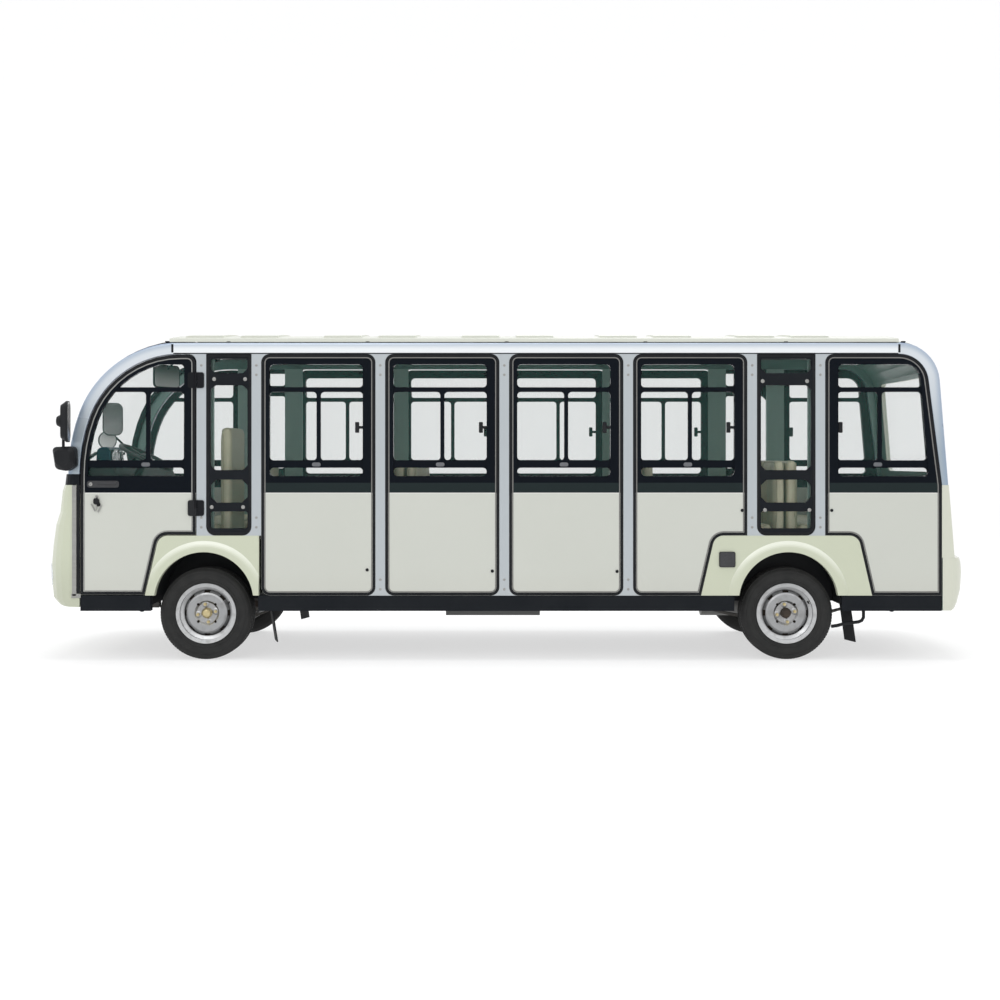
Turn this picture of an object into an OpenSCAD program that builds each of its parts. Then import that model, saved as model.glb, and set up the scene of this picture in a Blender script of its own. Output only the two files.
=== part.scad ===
// Enclosed electric sightseeing bus with a driver's door, a right front door and four
// boarding doors on the right. Millimetres, +X forward, +Y to the driver's side, +Z up,
// with the origin on the ground below the middle of the body.

/* [Overall size] */
// Length from the nose to the rear bumper, on the centre line
body_len = 6070; // [5970:10:6270]
// Width over the side panels
body_w = 1500; // [1460:10:1700]
// Top edge of the cant rails above the ground
rail_top = 2058; // [1990:2:2160]
// Rise of the roof's crown above the rails
roof_rise = 68; // [40:2:110]

/* [Levels] */
// Top of the cabin floor
floor_z = 430; // [415:5:460]
// Thickness of the floor deck
floor_t = 25; // [15:1:35]
// Lower edge of the side windows
window_z = 1193; // [1150:2:1250]
// Underside of the black sills
sill_z = 322; // [300:2:350]
// Upper edge of the black sills
sill_top = 422; // [405:1:430]

/* [Side structure] */
// Height of the cant rails and width of the end arches
rail_h = 76; // [60:2:100]
// Depth of pillars, rails and arches
frame_d = 60; // [45:1:80]
// Visible width of a pillar
pillar_w = 62; // [50:1:80]
// Distance between the pillars of a wide bay
bay_pitch = 800; // [740:5:860]
// Width of the narrow bay over the front wheel
narrow_front = 355; // [330:5:400]
// Width of the narrow bay over the rear wheel
narrow_rear = 440; // [410:5:480]
// Thickness of a door or side panel
leaf_t = 34; // [26:1:44]
// Gap between a door and its frame
gap = 6; // [5:0.5:10]
// Corner radius of a door
leaf_r = 55; // [20:1:80]
// Window border on the front edge of a panel
border_front = 47; // [35:1:70]
// Window border on the rear edge of a panel
border_rear = 77; // [60:1:100]
// Window border on the upper edge of a panel
border_top = 61; // [45:1:80]
// Thickness of the window glass
glass_t = 5; // [4:0.5:8]

/* [Front and rear shape] */
// Radius of the windscreen arch near its foot
arch_r2 = 1150; // [900:10:1300]
// Bow of the windscreen across the body
screen_bow = 90; // [40:5:120]
// Plan radius of the nose corners, at their roundest
nose_r = 240; // [200:5:260]
// Plan radius of the rear bumper's corners
bumper_r = 105; // [80:5:120]
// Radius of the rear roof corner
tail_r = 266; // [220:2:320]
// Lean of the rear wall
tail_lean = 4.6; // [2:0.2:7]
// Bow of the rear wall across the body
tail_bow = 70; // [30:5:100]

/* [Wheels] */
// How far the middle of the rear narrow bay stands ahead of the rear axle
bay_lead = 14; // [0:1:40]
// Distance between the axles
wheel_base = 3772; // [3650:2:3900]
// Nose to front axle
front_overhang = 1077; // [1070:1:1120]
// Distance between the wheels' centre planes
track = 1254; // [1220:2:1300]
// Outer diameter of a tyre
tyre_d = 600; // [570:2:620]
// Width of a tyre
tyre_w = 175; // [155:1:185]
// Diameter of the rim flange
rim_d = 391; // [380:1:400]
// Distance between the kingpins
kingpin_w = 1120; // [1090:2:1150]

/* [Fenders] */
// Upper edge of the fender panels
fender_top = 809; // [790:1:840]
// Radius of the wheel opening
opening_r = 321; // [315:1:335]
// Height of the wheel opening's centre
opening_z = 382; // [370:1:400]
// Width of the raised lip round a wheel opening
lip_w = 72; // [40:1:80]
// Height of that lip above the fender
lip_h = 14; // [6:1:24]
// Lean of a fender's slanted edge
fender_lean = 13; // [8:0.5:18]

/* [Seats] */
// Top of the seat cushions
seat_z = 882; // [840:2:920]
// Width of a cabin seat
seat_w = 430; // [400:5:460]
// Depth of a cushion
seat_d = 420; // [380:5:450]
// Thickness of a cushion
seat_t = 100; // [70:5:130]
// Height of a low backrest above its cushion
back_h = 420; // [340:5:480]
// Thickness of a backrest
back_t = 80; // [60:5:110]

/* [Chassis] */
// Distance between the centres of the chassis rails
rail_gap = 640; // [560:5:650]
// Width of a chassis rail
beam_w = 55; // [45:1:60]
// Height of a chassis rail
beam_h = 60; // [50:1:70]
// Bore radius of the tow eyes
tow_r = 15; // [10:0.5:20]

/* [Hidden] */
half_w = body_w / 2;
leaf_y = half_w - 2 - leaf_t;
nose_x = body_len / 2;
tail_x = -body_len / 2;
front_x = nose_x - front_overhang;
rear_x = front_x - wheel_base;
wheel_z = tyre_d / 2;
rear_pair = [rear_x + bay_lead + narrow_rear / 2, rear_x + bay_lead - narrow_rear / 2];
p6 = rear_pair[0];
p2 = p6 + 4 * bay_pitch;
p1 = p2 + narrow_front;
pillar_x = [p1, p2, p6 + 3 * bay_pitch, p6 + 2 * bay_pitch, p6 + bay_pitch, p6, rear_pair[1]];
leaf_top = rail_top - rail_h - gap;
leaf_bottom = sill_top + gap;

// Front arch: a long lower arc that stands upright at its foot, and a tighter one above
// that ends level with the rail's top edge
arch_turn = 20;
arch_foot_z = 1206;
arch_x = nose_x - 197;
arch_r1 = (rail_top - arch_foot_z - arch_r2 * sin(arch_turn)) / (1 - sin(arch_turn));
c2 = [arch_x - arch_r2, arch_foot_z];
c1 = c2 + (arch_r2 - arch_r1) * [cos(arch_turn), sin(arch_turn)];

// Rear arch: a leaning wall, a round corner and the rail
tail_top_z = rail_top - tail_r;
tail_cx = tail_x + 505;
tail_belt = 1135;

// Upper edge of the rear bumper
bumper_z = 666;

$fn = 48;

// Outlines

function unit(v) = v / norm(v);

function reversed(list) = [for (i = [len(list) - 1:-1:0]) list[i]];

// Points of an arc round a centre
function arc(c, r, a0, a1, n) = [for (i = [0:n]) c + r * [cos(a0 + (a1 - a0) * i / n), sin(a0 + (a1 - a0) * i / n)]];

function turn(a) = a > 180 ? a - 360 : a < -180 ? a + 360 : a;

// One corner of an outline, rounded by its radius; rows are [x, z, radius]
function corner(a, p, b, n) =
  let (q = [p[0], p[1]], u = unit([a[0], a[1]] - q), v = unit([b[0], b[1]] - q),
       half = acos(max(-1, min(1, u * v))) / 2, c = q + unit(u + v) * p[2] / sin(half),
       s = q + u * p[2] / tan(half), e = q + v * p[2] / tan(half),
       a0 = atan2(s[1] - c[1], s[0] - c[0]), a1 = atan2(e[1] - c[1], e[0] - c[0]))
  p[2] <= 0 ? [q] : arc(c, p[2], a0, a0 + turn(a1 - a0), n);

// A closed outline through corner rows [x, z, radius]
function rounded(rows, n = 6) =
  let (k = len(rows))
  [for (i = [0:k - 1]) each corner(rows[(i + k - 1) % k], rows[i], rows[(i + 1) % k], n)];

function box_rows(x0, x1, z0, z1, r) = [[x0, z0, r], [x1, z0, r], [x1, z1, r], [x0, z1, r]];

// The two triangles of a four-sided face
function halves(q) = [[q[0], q[1], q[2]], [q[0], q[2], q[3]]];

// Stands a side view outline up in the XZ plane, from y0 to y1 on one side of the body
module side_plate(y0, y1, side = 1) {
  mirror([0, side < 0 ? 1 : 0, 0]) translate([0, y1, 0]) rotate([90, 0, 0]) linear_extrude(y1 - y0) children();
}

module both_sides() {
  children();
  mirror([0, 1, 0]) children();
}

// Front arch outline, a distance d outside the arch's outer edge, up to the rail
function front_points(d, n = 10) = concat(
  arc(c2, arch_r2 + d, 0, arch_turn, 4),
  arc(c1, arch_r1 + d, arch_turn, 90, n)
);

// Rear arch outline, a distance d outside its outer edge, from the rail down to a level
function tail_wall(z, d) = tail_cx - (tail_r + d) * cos(tail_lean) - (tail_top_z + (tail_r + d) * sin(tail_lean) - z) * tan(tail_lean);
function tail_points(d, z) = concat(
  arc([tail_cx, tail_top_z], tail_r + d, 90, 180 - tail_lean, 10), [[tail_wall(z, d), z]]
);

// Inner edge of the rear arch, which narrows down the rear wall, moved outwards by d
tail_band = 44;
function tail_inner(d) = concat(
  arc([tail_cx, tail_top_z], tail_r - rail_h + d, 90, 180 - tail_lean, 10),
  [[tail_wall(tail_belt, -tail_band + d), tail_belt]]
);

// Fender outline in side view, grown by d all round
function slant(z) = (z - sill_top) * tan(fender_lean);
front_fender_front = 380;
front_fender_rear = 354;
rear_fender_front = 563;
rear_fender_rear = 540;
function front_fender_rows(d) = [
  [front_x - front_fender_rear - d, sill_top - d, 0],
  [front_x + front_fender_front + d - slant(sill_top - d), sill_top - d, 0],
  [front_x + front_fender_front + d - slant(fender_top + d), fender_top + d, 70 + d],
  [front_x - front_fender_rear - d, fender_top + d, 0]
];
function rear_fender_rows(d) = [
  [rear_x - rear_fender_rear - d + slant(sill_top - d), sill_top - d, 0],
  [rear_x + rear_fender_front + d - slant(sill_top - d), sill_top - d, 0],
  [rear_x + rear_fender_front + d - slant(fender_top + d), fender_top + d, 70 + d],
  [rear_x - rear_fender_rear - d + slant(fender_top + d), fender_top + d, 70 + d]
];

// Door and panel outlines. A door keeps the full gap to its frame, a fixed panel a seat of its own

seat_gap_fixed = 0.3;
rail_low = rail_top - rail_h;
driver_rear = p1 + pillar_w / 2 + gap;
driver_front = arch_x - rail_h - gap;
quarter_front = rear_pair[1] - pillar_w / 2 - gap;

module driver_outline() {
  difference() {
    polygon(concat(
      [[driver_rear, leaf_bottom], [driver_front, leaf_bottom]],
      front_points(-rail_h - gap),
      corner([c1[0], leaf_top], [driver_rear, leaf_top, leaf_r], [driver_rear, leaf_bottom], 6)
    ));
    polygon(rounded(front_fender_rows(gap)));
  }
}

// Wide bay i runs from pillar i to the next one behind it; g is the gap all round
function bay_front(i) = pillar_x[i] - pillar_w / 2;
function bay_rear(i) = pillar_x[i + 1] + pillar_w / 2;

module bay_outline(i, g) {
  difference() {
    polygon(rounded(box_rows(bay_rear(i) + g, bay_front(i) - g, sill_top + g, rail_low - g, leaf_r)));
    if (i == 1) polygon(rounded(front_fender_rows(g)));
    if (i == 4) polygon(rounded(rear_fender_rows(g)));
  }
}

// Rear edge of the quarter panel at a level, and its outline inside the rear arch
function quarter_rear(z) = tail_wall(max(z, tail_belt), -tail_band - gap);

module quarter_outline(g) {
  difference() {
    polygon(concat(
      corner([tail_cx, rail_low - g], [quarter_front + gap - g, rail_low - g, leaf_r], [quarter_front, sill_top], 6),
      corner([quarter_front + gap - g, rail_low], [quarter_front + gap - g, sill_top + g, 20], [tail_cx, sill_top + g], 4),
      [[tail_wall(tail_belt, -tail_band - g), sill_top + g]], reversed(tail_inner(-g))
    ));
    polygon(rounded(rear_fender_rows(g)));
  }
}

// Window openings and the bars of the sliding frames

transom_z = 1752;
transom_h = 30;
lower_rail_z = 1271;
lower_rail_h = 48;
mullion_w = 26;
window_r = 28;

function pane_top() = leaf_top - border_top;

module bay_window(i, d = 0) {
  polygon(rounded(box_rows(bay_rear(i) + gap + border_rear - d, bay_front(i) - gap - border_front + d, window_z - d, pane_top() + d, window_r)));
}

module driver_window(d = 0) {
  intersection() {
    polygon(concat(
      [[driver_rear + border_rear - d, window_z - d], [driver_front - 40 + d, window_z - d]],
      front_points(-rail_h - gap - 48 + d),
      corner([c1[0], pane_top()], [driver_rear + border_rear - d, pane_top() + d, window_r], [driver_rear, window_z], 6)
    ));
    translate([driver_rear, window_z - d]) square([driver_front - driver_rear, pane_top() - window_z + 2 * d]);
  }
}

module quarter_window(d = 0) {
  polygon(rounded([
    [quarter_front - 80 + d, window_z - d, window_r], [quarter_front - 80 + d, pane_top() + d, window_r],
    [quarter_rear(pane_top()) + 78 - d, pane_top() + d, 90], [quarter_rear(window_z) + 75 - d, window_z - d, window_r]
  ]));
}

// Transom, lower rail and upright of a sliding window, between two ends, inside the opening
module sliding_bars(x0, x1, xm) {
  intersection() {
    union() {
      translate([x0, transom_z - transom_h / 2]) square([x1 - x0, transom_h]);
      translate([x0, lower_rail_z - lower_rail_h / 2]) square([x1 - x0, lower_rail_h]);
      translate([xm - mullion_w / 2, lower_rail_z]) square([mullion_w, transom_z - lower_rail_z]);
    }
    children();
  }
}

module leaf(side) {
  side_plate(leaf_y, leaf_y + leaf_t, side) difference() {
    children(0);
    children(1);
  }
}

module bars(side) {
  side_plate(leaf_y + 6, leaf_y + leaf_t - 8, side) children();
}

module pane(side) {
  side_plate(leaf_y + leaf_t / 2 - glass_t / 2 - 1, leaf_y + leaf_t / 2 + glass_t / 2 - 1, side) children();
}

module bay_leaf(i, side, g) {
  leaf(side) {
    bay_outline(i, g);
    bay_window(i);
  }
  bars(side) sliding_bars(bay_rear(i), bay_front(i), (bay_rear(i) + bay_front(i)) / 2) bay_window(i, 1);
}

module bay_pane(i, side) {
  pane(side) difference() {
    bay_window(i, -0.5);
    sliding_bars(bay_rear(i), bay_front(i), (bay_rear(i) + bay_front(i)) / 2) bay_window(i, 1);
  }
}

module driver_leaf(side) {
  leaf(side) {
    driver_outline();
    driver_window();
  }
  bars(side) sliding_bars(driver_rear, driver_front, driver_mullion) driver_window(1);
}
driver_mullion = p1 + 347;

module driver_pane(side) {
  pane(side) difference() {
    driver_window(-0.5);
    sliding_bars(driver_rear, driver_front, driver_mullion) driver_window(1);
  }
}

quarter_mullion = rear_pair[1] - 387;
module quarter_leaf(side) {
  leaf(side) {
    quarter_outline(seat_gap_fixed);
    quarter_window();
  }
  bars(side) sliding_bars(quarter_rear(window_z), quarter_front, quarter_mullion) quarter_window(1);
}

module quarter_pane(side) {
  pane(side) difference() {
    quarter_window(-0.5);
    sliding_bars(quarter_rear(window_z), quarter_front, quarter_mullion) quarter_window(1);
  }
}

// Hinges: a barrel on the door's axis with one leaf on the door and one on the pillar

hinge_y = half_w + 9;
hinge_r = 8;
hinge_h = 102;
hinge_leaf = 52;
hinge_levels = [1812, 987];

// Side view of a hinge leaf, with its two outer corners rounded
module hinge_plate(dir, z0, z1) {
  polygon(rounded([[0, z0, 0], [dir * hinge_leaf, z0, 14], [dir * hinge_leaf, z1, 14], [0, z1, 0]]));
}

// Door half of a hinge; dir is +1 where the door lies ahead of its axis
module hinge_door(x, z, dir) {
  translate([x, hinge_y, z - hinge_h / 2]) cylinder(r = hinge_r, h = hinge_h / 2 - 0.2);
  translate([x, 0, z]) side_plate(half_w - 2, hinge_y) difference() {
    hinge_plate(dir, -hinge_h / 2, hinge_h / 2);
    translate([-hinge_r - 1, -0.2]) square([2 * hinge_r + 2, hinge_h]);
  }
}

module hinge_body(x, z, dir) {
  translate([x, hinge_y, z]) cylinder(r = hinge_r, h = hinge_h / 2);
  translate([x, 0, z]) side_plate(half_w, hinge_y) difference() {
    hinge_plate(-dir, -hinge_h / 2, hinge_h / 2);
    translate([-hinge_r - 1, -hinge_h + 0.2]) square([2 * hinge_r + 2, hinge_h]);
  }
}

// Structure

cross_w = rail_gap - beam_w - 2 * seat_gap_fixed;
cross_x = [tail_x + 260, rear_x - 560, rear_x + 560, p6 + 1.6 * bay_pitch, p6 + 2.6 * bay_pitch,
           front_x - 460, front_x + 460, nose_x - 350];
// Flat pads below the rails, where a jack lifts the bus
jack_x = [front_x - 708, rear_x + 814];
jack_h = 10;
module chassis_frame() {
  color("dimgray") {
    both_sides() translate([tail_x + 260, rail_gap / 2 - beam_w / 2, floor_z - floor_t - beam_h])
      cube([body_len - 560, beam_w, beam_h]);
    for (x = cross_x) translate([x, -cross_w / 2, floor_z - floor_t - beam_h]) cube([50, cross_w, beam_h]);
    both_sides() for (s = springs) for (e = [-1, 1]) hanger(s[0] + e * s[1]);
    both_sides() for (x = jack_x)
      translate([x - 45, rail_gap / 2 - beam_w / 2 + 2, floor_z - floor_t - beam_h - seat_gap_fixed - jack_h])
        cube([90, beam_w - 4, jack_h]);
    tow_eye(nose_x - 350, 1);
    tow_eye(tail_x + 310, -1);
  }
}

tow_z = 285;
tow_reach = 250;
module tow_eye(x, dir) {
  difference() {
    translate([x, 0, tow_z]) rotate([90, 0, 0]) linear_extrude(20, center = true) {
      translate([dir > 0 ? 0 : -tow_reach, -20]) square([tow_reach, 40]);
      translate([0, -20]) square([50, floor_z - floor_t - beam_h - tow_z + 21]);
      translate([dir * tow_reach, 0]) circle(r = 30);
    }
    translate([x + dir * tow_reach, 0, tow_z]) rotate([90, 0, 0]) cylinder(r = tow_r, h = 40, center = true);
  }
}

housing_half = opening_r + 27;
front_housing_y = rail_gap / 2 + beam_w / 2 + 5;
rear_housing_y = track / 2 - tyre_w / 2 - 40;

module floor_deck() {
  color("slategray") difference() {
    translate([tail_x + 230, frame_d - half_w, floor_z - floor_t]) cube([body_len - 540, body_w - 2 * frame_d, floor_t]);
    both_sides() {
      translate([front_x - housing_half, front_housing_y, 0]) cube([2 * housing_half, half_w, floor_z + 1]);
      translate([rear_x - housing_half, rear_housing_y, 0]) cube([2 * housing_half, half_w, floor_z + 1]);
    }
  }
}

// Black rocker between the wheel openings and ahead of and behind them
sill_runs = [
  [front_x + housing_half, driver_front + 2],
  [rear_x + housing_half, front_x - housing_half],
  [tail_x + 230, rear_x - housing_half]
];
module side_sills() {
  color("black") both_sides() for (run = sill_runs)
    translate([run[0], half_w - frame_d, sill_z]) cube([run[1] - run[0], frame_d - 7, sill_top - sill_z]);
}

// A pillar flares at its ends, because its fillets fill the rounded corners of the openings
function pillar_foot(i) = (i == 0 || i == 1 || i == 5 || i == 6) ? fender_top : sill_top;
module fillet(x, z, sx, sz, r) {
  translate([x, z]) difference() {
    translate([sx > 0 ? -1 : -r, sz > 0 ? 0 : -r]) square([r + 1, r]);
    translate([sx * r, sz * r]) circle(r = r);
  }
}
fillet_r = leaf_r + seat_gap_fixed;
module pillars() {
  color("silver") for (side = [1, -1]) side_plate(half_w - frame_d, half_w, side) {
    for (i = [0:6]) translate([pillar_x[i] - pillar_w / 2, pillar_foot(i)])
      square([pillar_w, rail_low - pillar_foot(i)]);
    for (i = [1:4]) {
      fillet(bay_front(i), rail_low, -1, -1, fillet_r);
      fillet(bay_rear(i), rail_low, 1, -1, fillet_r);
    }
    for (i = [2:4]) fillet(bay_front(i), sill_top, -1, 1, fillet_r);
    for (i = [1:3]) fillet(bay_rear(i), sill_top, 1, 1, fillet_r);
    fillet(driver_rear - gap, rail_low, 1, -1, fillet_r);
    fillet(quarter_front + gap, rail_low, -1, -1, fillet_r);
    for (i = [0, 5]) {
      fillet(bay_front(i), fender_top, -1, 1, narrow_r);
      fillet(bay_rear(i), fender_top, 1, 1, narrow_r);
    }
  }
  color("dimgray") {
    both_sides() for (z = hinge_levels) hinge_body(driver_rear - gap / 2, z, 1);
    for (i = [1:4]) for (z = hinge_levels) mirror([0, 1, 0]) hinge_body(bay_front(i) - gap / 2, z, -1);
  }
}

// Section of a rail or an arch: rounded along its outer edges. Points are [across, y]
rail_round = 16;
function rail_section(r0, r1) = rounded([
  [r0, half_w - frame_d, 3], [r1, half_w - frame_d, 3], [r1, half_w, rail_round], [r0, half_w, 5]
], 4);

// Folded steel covers on the cabin side of the pillars, open towards them
post_w = 132;
post_d = 21;
post_t = 3;
module inner_posts() {
  color("lightgray") both_sides() for (i = [0:6])
    let (foot = pillar_foot(i) > sill_top ? pillar_foot(i) : floor_z + seat_gap_fixed)
      translate([pillar_x[i], half_w - frame_d - seat_gap_fixed, foot]) linear_extrude(rail_low - foot) difference() {
        translate([-post_w / 2, -post_d]) square([post_w, post_d]);
        translate([-post_w / 2 + post_t, -post_d + post_t]) square([post_w - 2 * post_t, post_d]);
      }
}

module cant_rails() {
  color("silver") both_sides() translate([tail_cx, 0, 0]) rotate([90, 0, 90]) linear_extrude(c1[0] - tail_cx)
    polygon([for (p = rail_section(rail_low, rail_top)) [p[1], p[0]]]);
}

// Part of the front arch, turned about one of its centres
module arch_turned(c, r, a0, a1) {
  translate([c[0], 0, c[1]]) rotate([90, 0, 0]) rotate([0, 0, a0])
    rotate_extrude(angle = a1 - a0, $fn = 96) polygon(rail_section(r - rail_h, r));
}

// A solid through closed sections that have as many points each
module loft(list) {
  m = len(list[0]);
  k = len(list);
  polyhedron([for (ring = list) each ring], concat(
    [[for (j = [0:m - 1]) j]],
    [[for (j = [m - 1:-1:0]) (k - 1) * m + j]],
    [for (i = [0:k - 2]) for (j = [0:m - 1]) let (n = (j + 1) % m)
      each halves([i * m + j, (i + 1) * m + j, (i + 1) * m + n, i * m + n])]), 8);
}

// Rear arch: one section per station of its outer and inner lines
tail_rows = [for (i = [0:10]) let (a = 90 + (90 - tail_lean) * i / 10, u = [cos(a), sin(a)])
  concat([[tail_cx, tail_top_z] + tail_r * u], [[tail_cx, tail_top_z] + (tail_r - rail_h) * u])];
tail_last = [[tail_wall(tail_belt, 0), tail_belt], [tail_wall(tail_belt, -tail_band), tail_belt]];
function across(a, b, section) = let (w = norm(a - b), u = (a - b) / w)
  [for (p = section) let (q = b + u * p[0] * w / rail_h) [q[0], p[1], q[1]]];

module arches() {
  color("silver") both_sides() {
    arch_turned(c2, arch_r2, 0, arch_turn);
    arch_turned(c1, arch_r1, arch_turn, 90);
    loft([for (row = concat(tail_rows, [tail_last])) across(row[0], row[1], rail_section(0, rail_h))]);
  }
}

// Roof: a thin arched panel with two pressed pads between each pair of joints

roof_t = 22;
roof_edge = 12;
pad_h = 9;
pad_len = 245;
pad_pitch = 355;
roof_pitch = 900;
header_end = 84;
roof_front = c1[0] + (arch_r1 - 26) * cos(header_end) - seat_gap_fixed;
roof_rear = tail_cx + seat_gap_fixed;
function roof_z(y, d) = rail_top + d + roof_rise * (1 - pow(y / half_w, 2));
module roof_band(x0, x1, w, d0, d1) {
  translate([x0, 0, 0]) rotate([90, 0, 90]) linear_extrude(x1 - x0) polygon(concat(
    [for (i = [-8:8]) [i * w / 8, roof_z(i * w / 8, d1)]],
    [for (i = [8:-1:-8]) [i * w / 8, roof_z(i * w / 8, d0)]]
  ));
}
module roof_panel() {
  color("cornsilk") {
    roof_band(roof_rear, roof_front, half_w - roof_edge, 0, roof_t);
    for (k = [-2.5:1:1.5]) for (s = [-0.5, 0.5])
      let (xm = (k + 0.5) * roof_pitch + s * pad_pitch)
        roof_band(xm - pad_len / 2, xm + pad_len / 2, half_w - 110, roof_t - 1, roof_t + pad_h);
  }
}

// Bowed skins: a patch of the front or rear surface between two outline stations

// Point of a patch: the outline's point i, pushed out by the bow at y
function bow(y, w) = 1 - pow(y / w, 2);
function out_normal(line, i) =
  let (k = len(line) - 1,
       t = unit(i == 0 ? 4 * line[1] - line[2] - 3 * line[0]
              : i == k ? 3 * line[k] - 4 * line[k - 1] + line[k - 2] : line[i + 1] - line[i - 1]))
  [t[1], -t[0]];

module skin(line, w, bow_h, d0, d1, flip = 1, ny = 10) {
  k = len(line);
  m = 2 * ny + 1;
  pts = [for (d = [d0, d1]) for (i = [0:k - 1]) for (j = [-ny:ny])
    let (y = w * j / ny, n = out_normal(line, i) * flip, o = d + bow_h * bow(y, half_w))
      [line[i][0] + n[0] * o, y, line[i][1] + n[1] * o]];
  function id(s, i, j) = s * k * m + i * m + j;
  faces = concat(
    [for (i = [0:k - 2]) for (j = [0:m - 2]) each halves([id(0, i, j), id(0, i, j + 1), id(0, i + 1, j + 1), id(0, i + 1, j)])],
    [for (i = [0:k - 2]) for (j = [0:m - 2]) each halves([id(1, i, j), id(1, i + 1, j), id(1, i + 1, j + 1), id(1, i, j + 1)])],
    [for (i = [0:k - 2]) each halves([id(0, i, 0), id(0, i + 1, 0), id(1, i + 1, 0), id(1, i, 0)])],
    [for (i = [0:k - 2]) each halves([id(0, i, m - 1), id(1, i, m - 1), id(1, i + 1, m - 1), id(0, i + 1, m - 1)])],
    [for (j = [0:m - 2]) each halves([id(0, 0, j), id(1, 0, j), id(1, 0, j + 1), id(0, 0, j + 1)])],
    [for (j = [0:m - 2]) each halves([id(0, k - 1, j), id(0, k - 1, j + 1), id(1, k - 1, j + 1), id(1, k - 1, j)])]
  );
  polyhedron(pts, flip > 0 ? faces : [for (f = faces) reversed(f)], 6);
}

// Part of the front outline between two angles
function screen_line(a0, a1, n) = [for (i = [0:n])
  let (a = a0 + (a1 - a0) * i / n)
    a < arch_turn ? c2 + arch_r2 * [cos(a), sin(a)] : c1 + arch_r1 * [cos(a), sin(a)]];

screen_w = half_w - frame_d;
screen_low = 4;
screen_high = 66;
module windscreen_frame() {
  color("black") {
    difference() {
      skin(screen_line(0, header_end, 14), screen_w, screen_bow - 20, -26, 0);
      skin(screen_line(screen_low, screen_high, 10), screen_w - 42, screen_bow - 20, -60, 60);
    }
    cowl();
  }
}

module cowl() {
  rings([for (row = cowl_rows) wrap_ring(row, nose_corner_x, nose_rear, nose_bow, 0, 40, 1)]);
}

module windscreen() {
  color("lightblue") skin(screen_line(screen_low + 0.03, screen_high - 0.03, 10), screen_w - 42.5, screen_bow - 20, -14, -9);
}

// A wrap round the nose or the tail: a stack of plan outlines, each rounded at its corners.
// Rows are [level, corner radius]; dir is +1 at the nose and -1 at the tail
nose_rows = [
  [348, 132], [356, 162], [375, 192], [400, 222], [520, 238], [613, 240], [730, 226], [877, 198], [961, 160], [1097, 139], [1135, 121]
];
cowl_rows = [[1135, 116], [arch_foot_z - seat_gap_fixed, 104]];
bumper_rows = [[325, 14], [340, 40], [374, 62], [458, 94], [573, 104], [640, 96], [bumper_z - seat_gap_fixed, 84]];
nose_bow = 24;
bumper_bow = 74;
nose_corner_x = nose_x - nose_r - nose_bow;
bumper_corner_x = tail_x + bumper_r + bumper_bow;
nose_rear = driver_front + gap;
bumper_front = tail_x + 225;
function wrap_half(cx, r, rear, w, b, dir) = concat(
  [[rear, w]],
  [for (a = [90:-15:15]) [cx + dir * r * cos(a), w - r + r * sin(a)]],
  [for (j = [4:-1:1]) [cx + dir * (r + b * bow(j / 4, 1)), j * (w - r) / 4]]
);
function wrap_line(cx, r, rear, w, b, dir) =
  let (half = wrap_half(cx, r, rear, w, b, dir))
  concat(half, [[cx + dir * (r + b), 0]], [for (p = reversed(half)) [p[0], -p[1]]]);
// Ring of a wall from a distance d outside the outline to a depth t inside it
function wrap_ring(row, cx, rear, b, d, t, dir) =
  let (r = row[1], ri = max(2, r - t), ring = concat(
         wrap_line(cx, r + d, rear, half_w + d, b, dir),
         reversed(wrap_line(cx + dir * (r - t - ri), ri, rear, half_w - t, b, dir))))
  [for (p = (dir > 0 ? ring : reversed(ring))) [p[0], p[1], row[0]]];

// A walled stack of rings; each ring runs out along its outer line and back along its inner one
module rings(list) {
  m = len(list[0]);
  k = len(list);
  top = (k - 1) * m;
  polyhedron(
    [for (ring = list) each ring],
    concat([for (j = [0:m / 2 - 2]) each halves([m - 1 - j, m - 2 - j, j + 1, j])],
           [for (j = [0:m / 2 - 2]) each halves([top + j, top + j + 1, top + m - 2 - j, top + m - 1 - j])],
           [for (i = [0:k - 2]) for (j = [0:m - 1]) let (n = (j + 1) % m)
             each halves([i * m + j, i * m + n, (i + 1) * m + n, (i + 1) * m + j])]), 8);
}

module nose_shell(d, t) {
  rings([for (row = nose_rows) wrap_ring(row, nose_corner_x, nose_rear, nose_bow, d, t, 1)]);
}

lamp_y = 500;
lamp_z = 545;
module lamp_cut(d) {
  both_sides() translate([nose_x - 700, lamp_y, lamp_z]) rotate([90, 0, 90]) linear_extrude(1000)
    polygon(rounded(box_rows(-140 - d, 140 + d, -72 - d, 72 + d, 70)));
}

module nose() {
  color("beige") difference() {
    nose_shell(0, 34);
    lamp_cut(seat_gap_fixed);
  }
}

module headlights() {
  color("white") intersection() {
    nose_shell(5, 30);
    lamp_cut(0);
  }
}

// Cab

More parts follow.
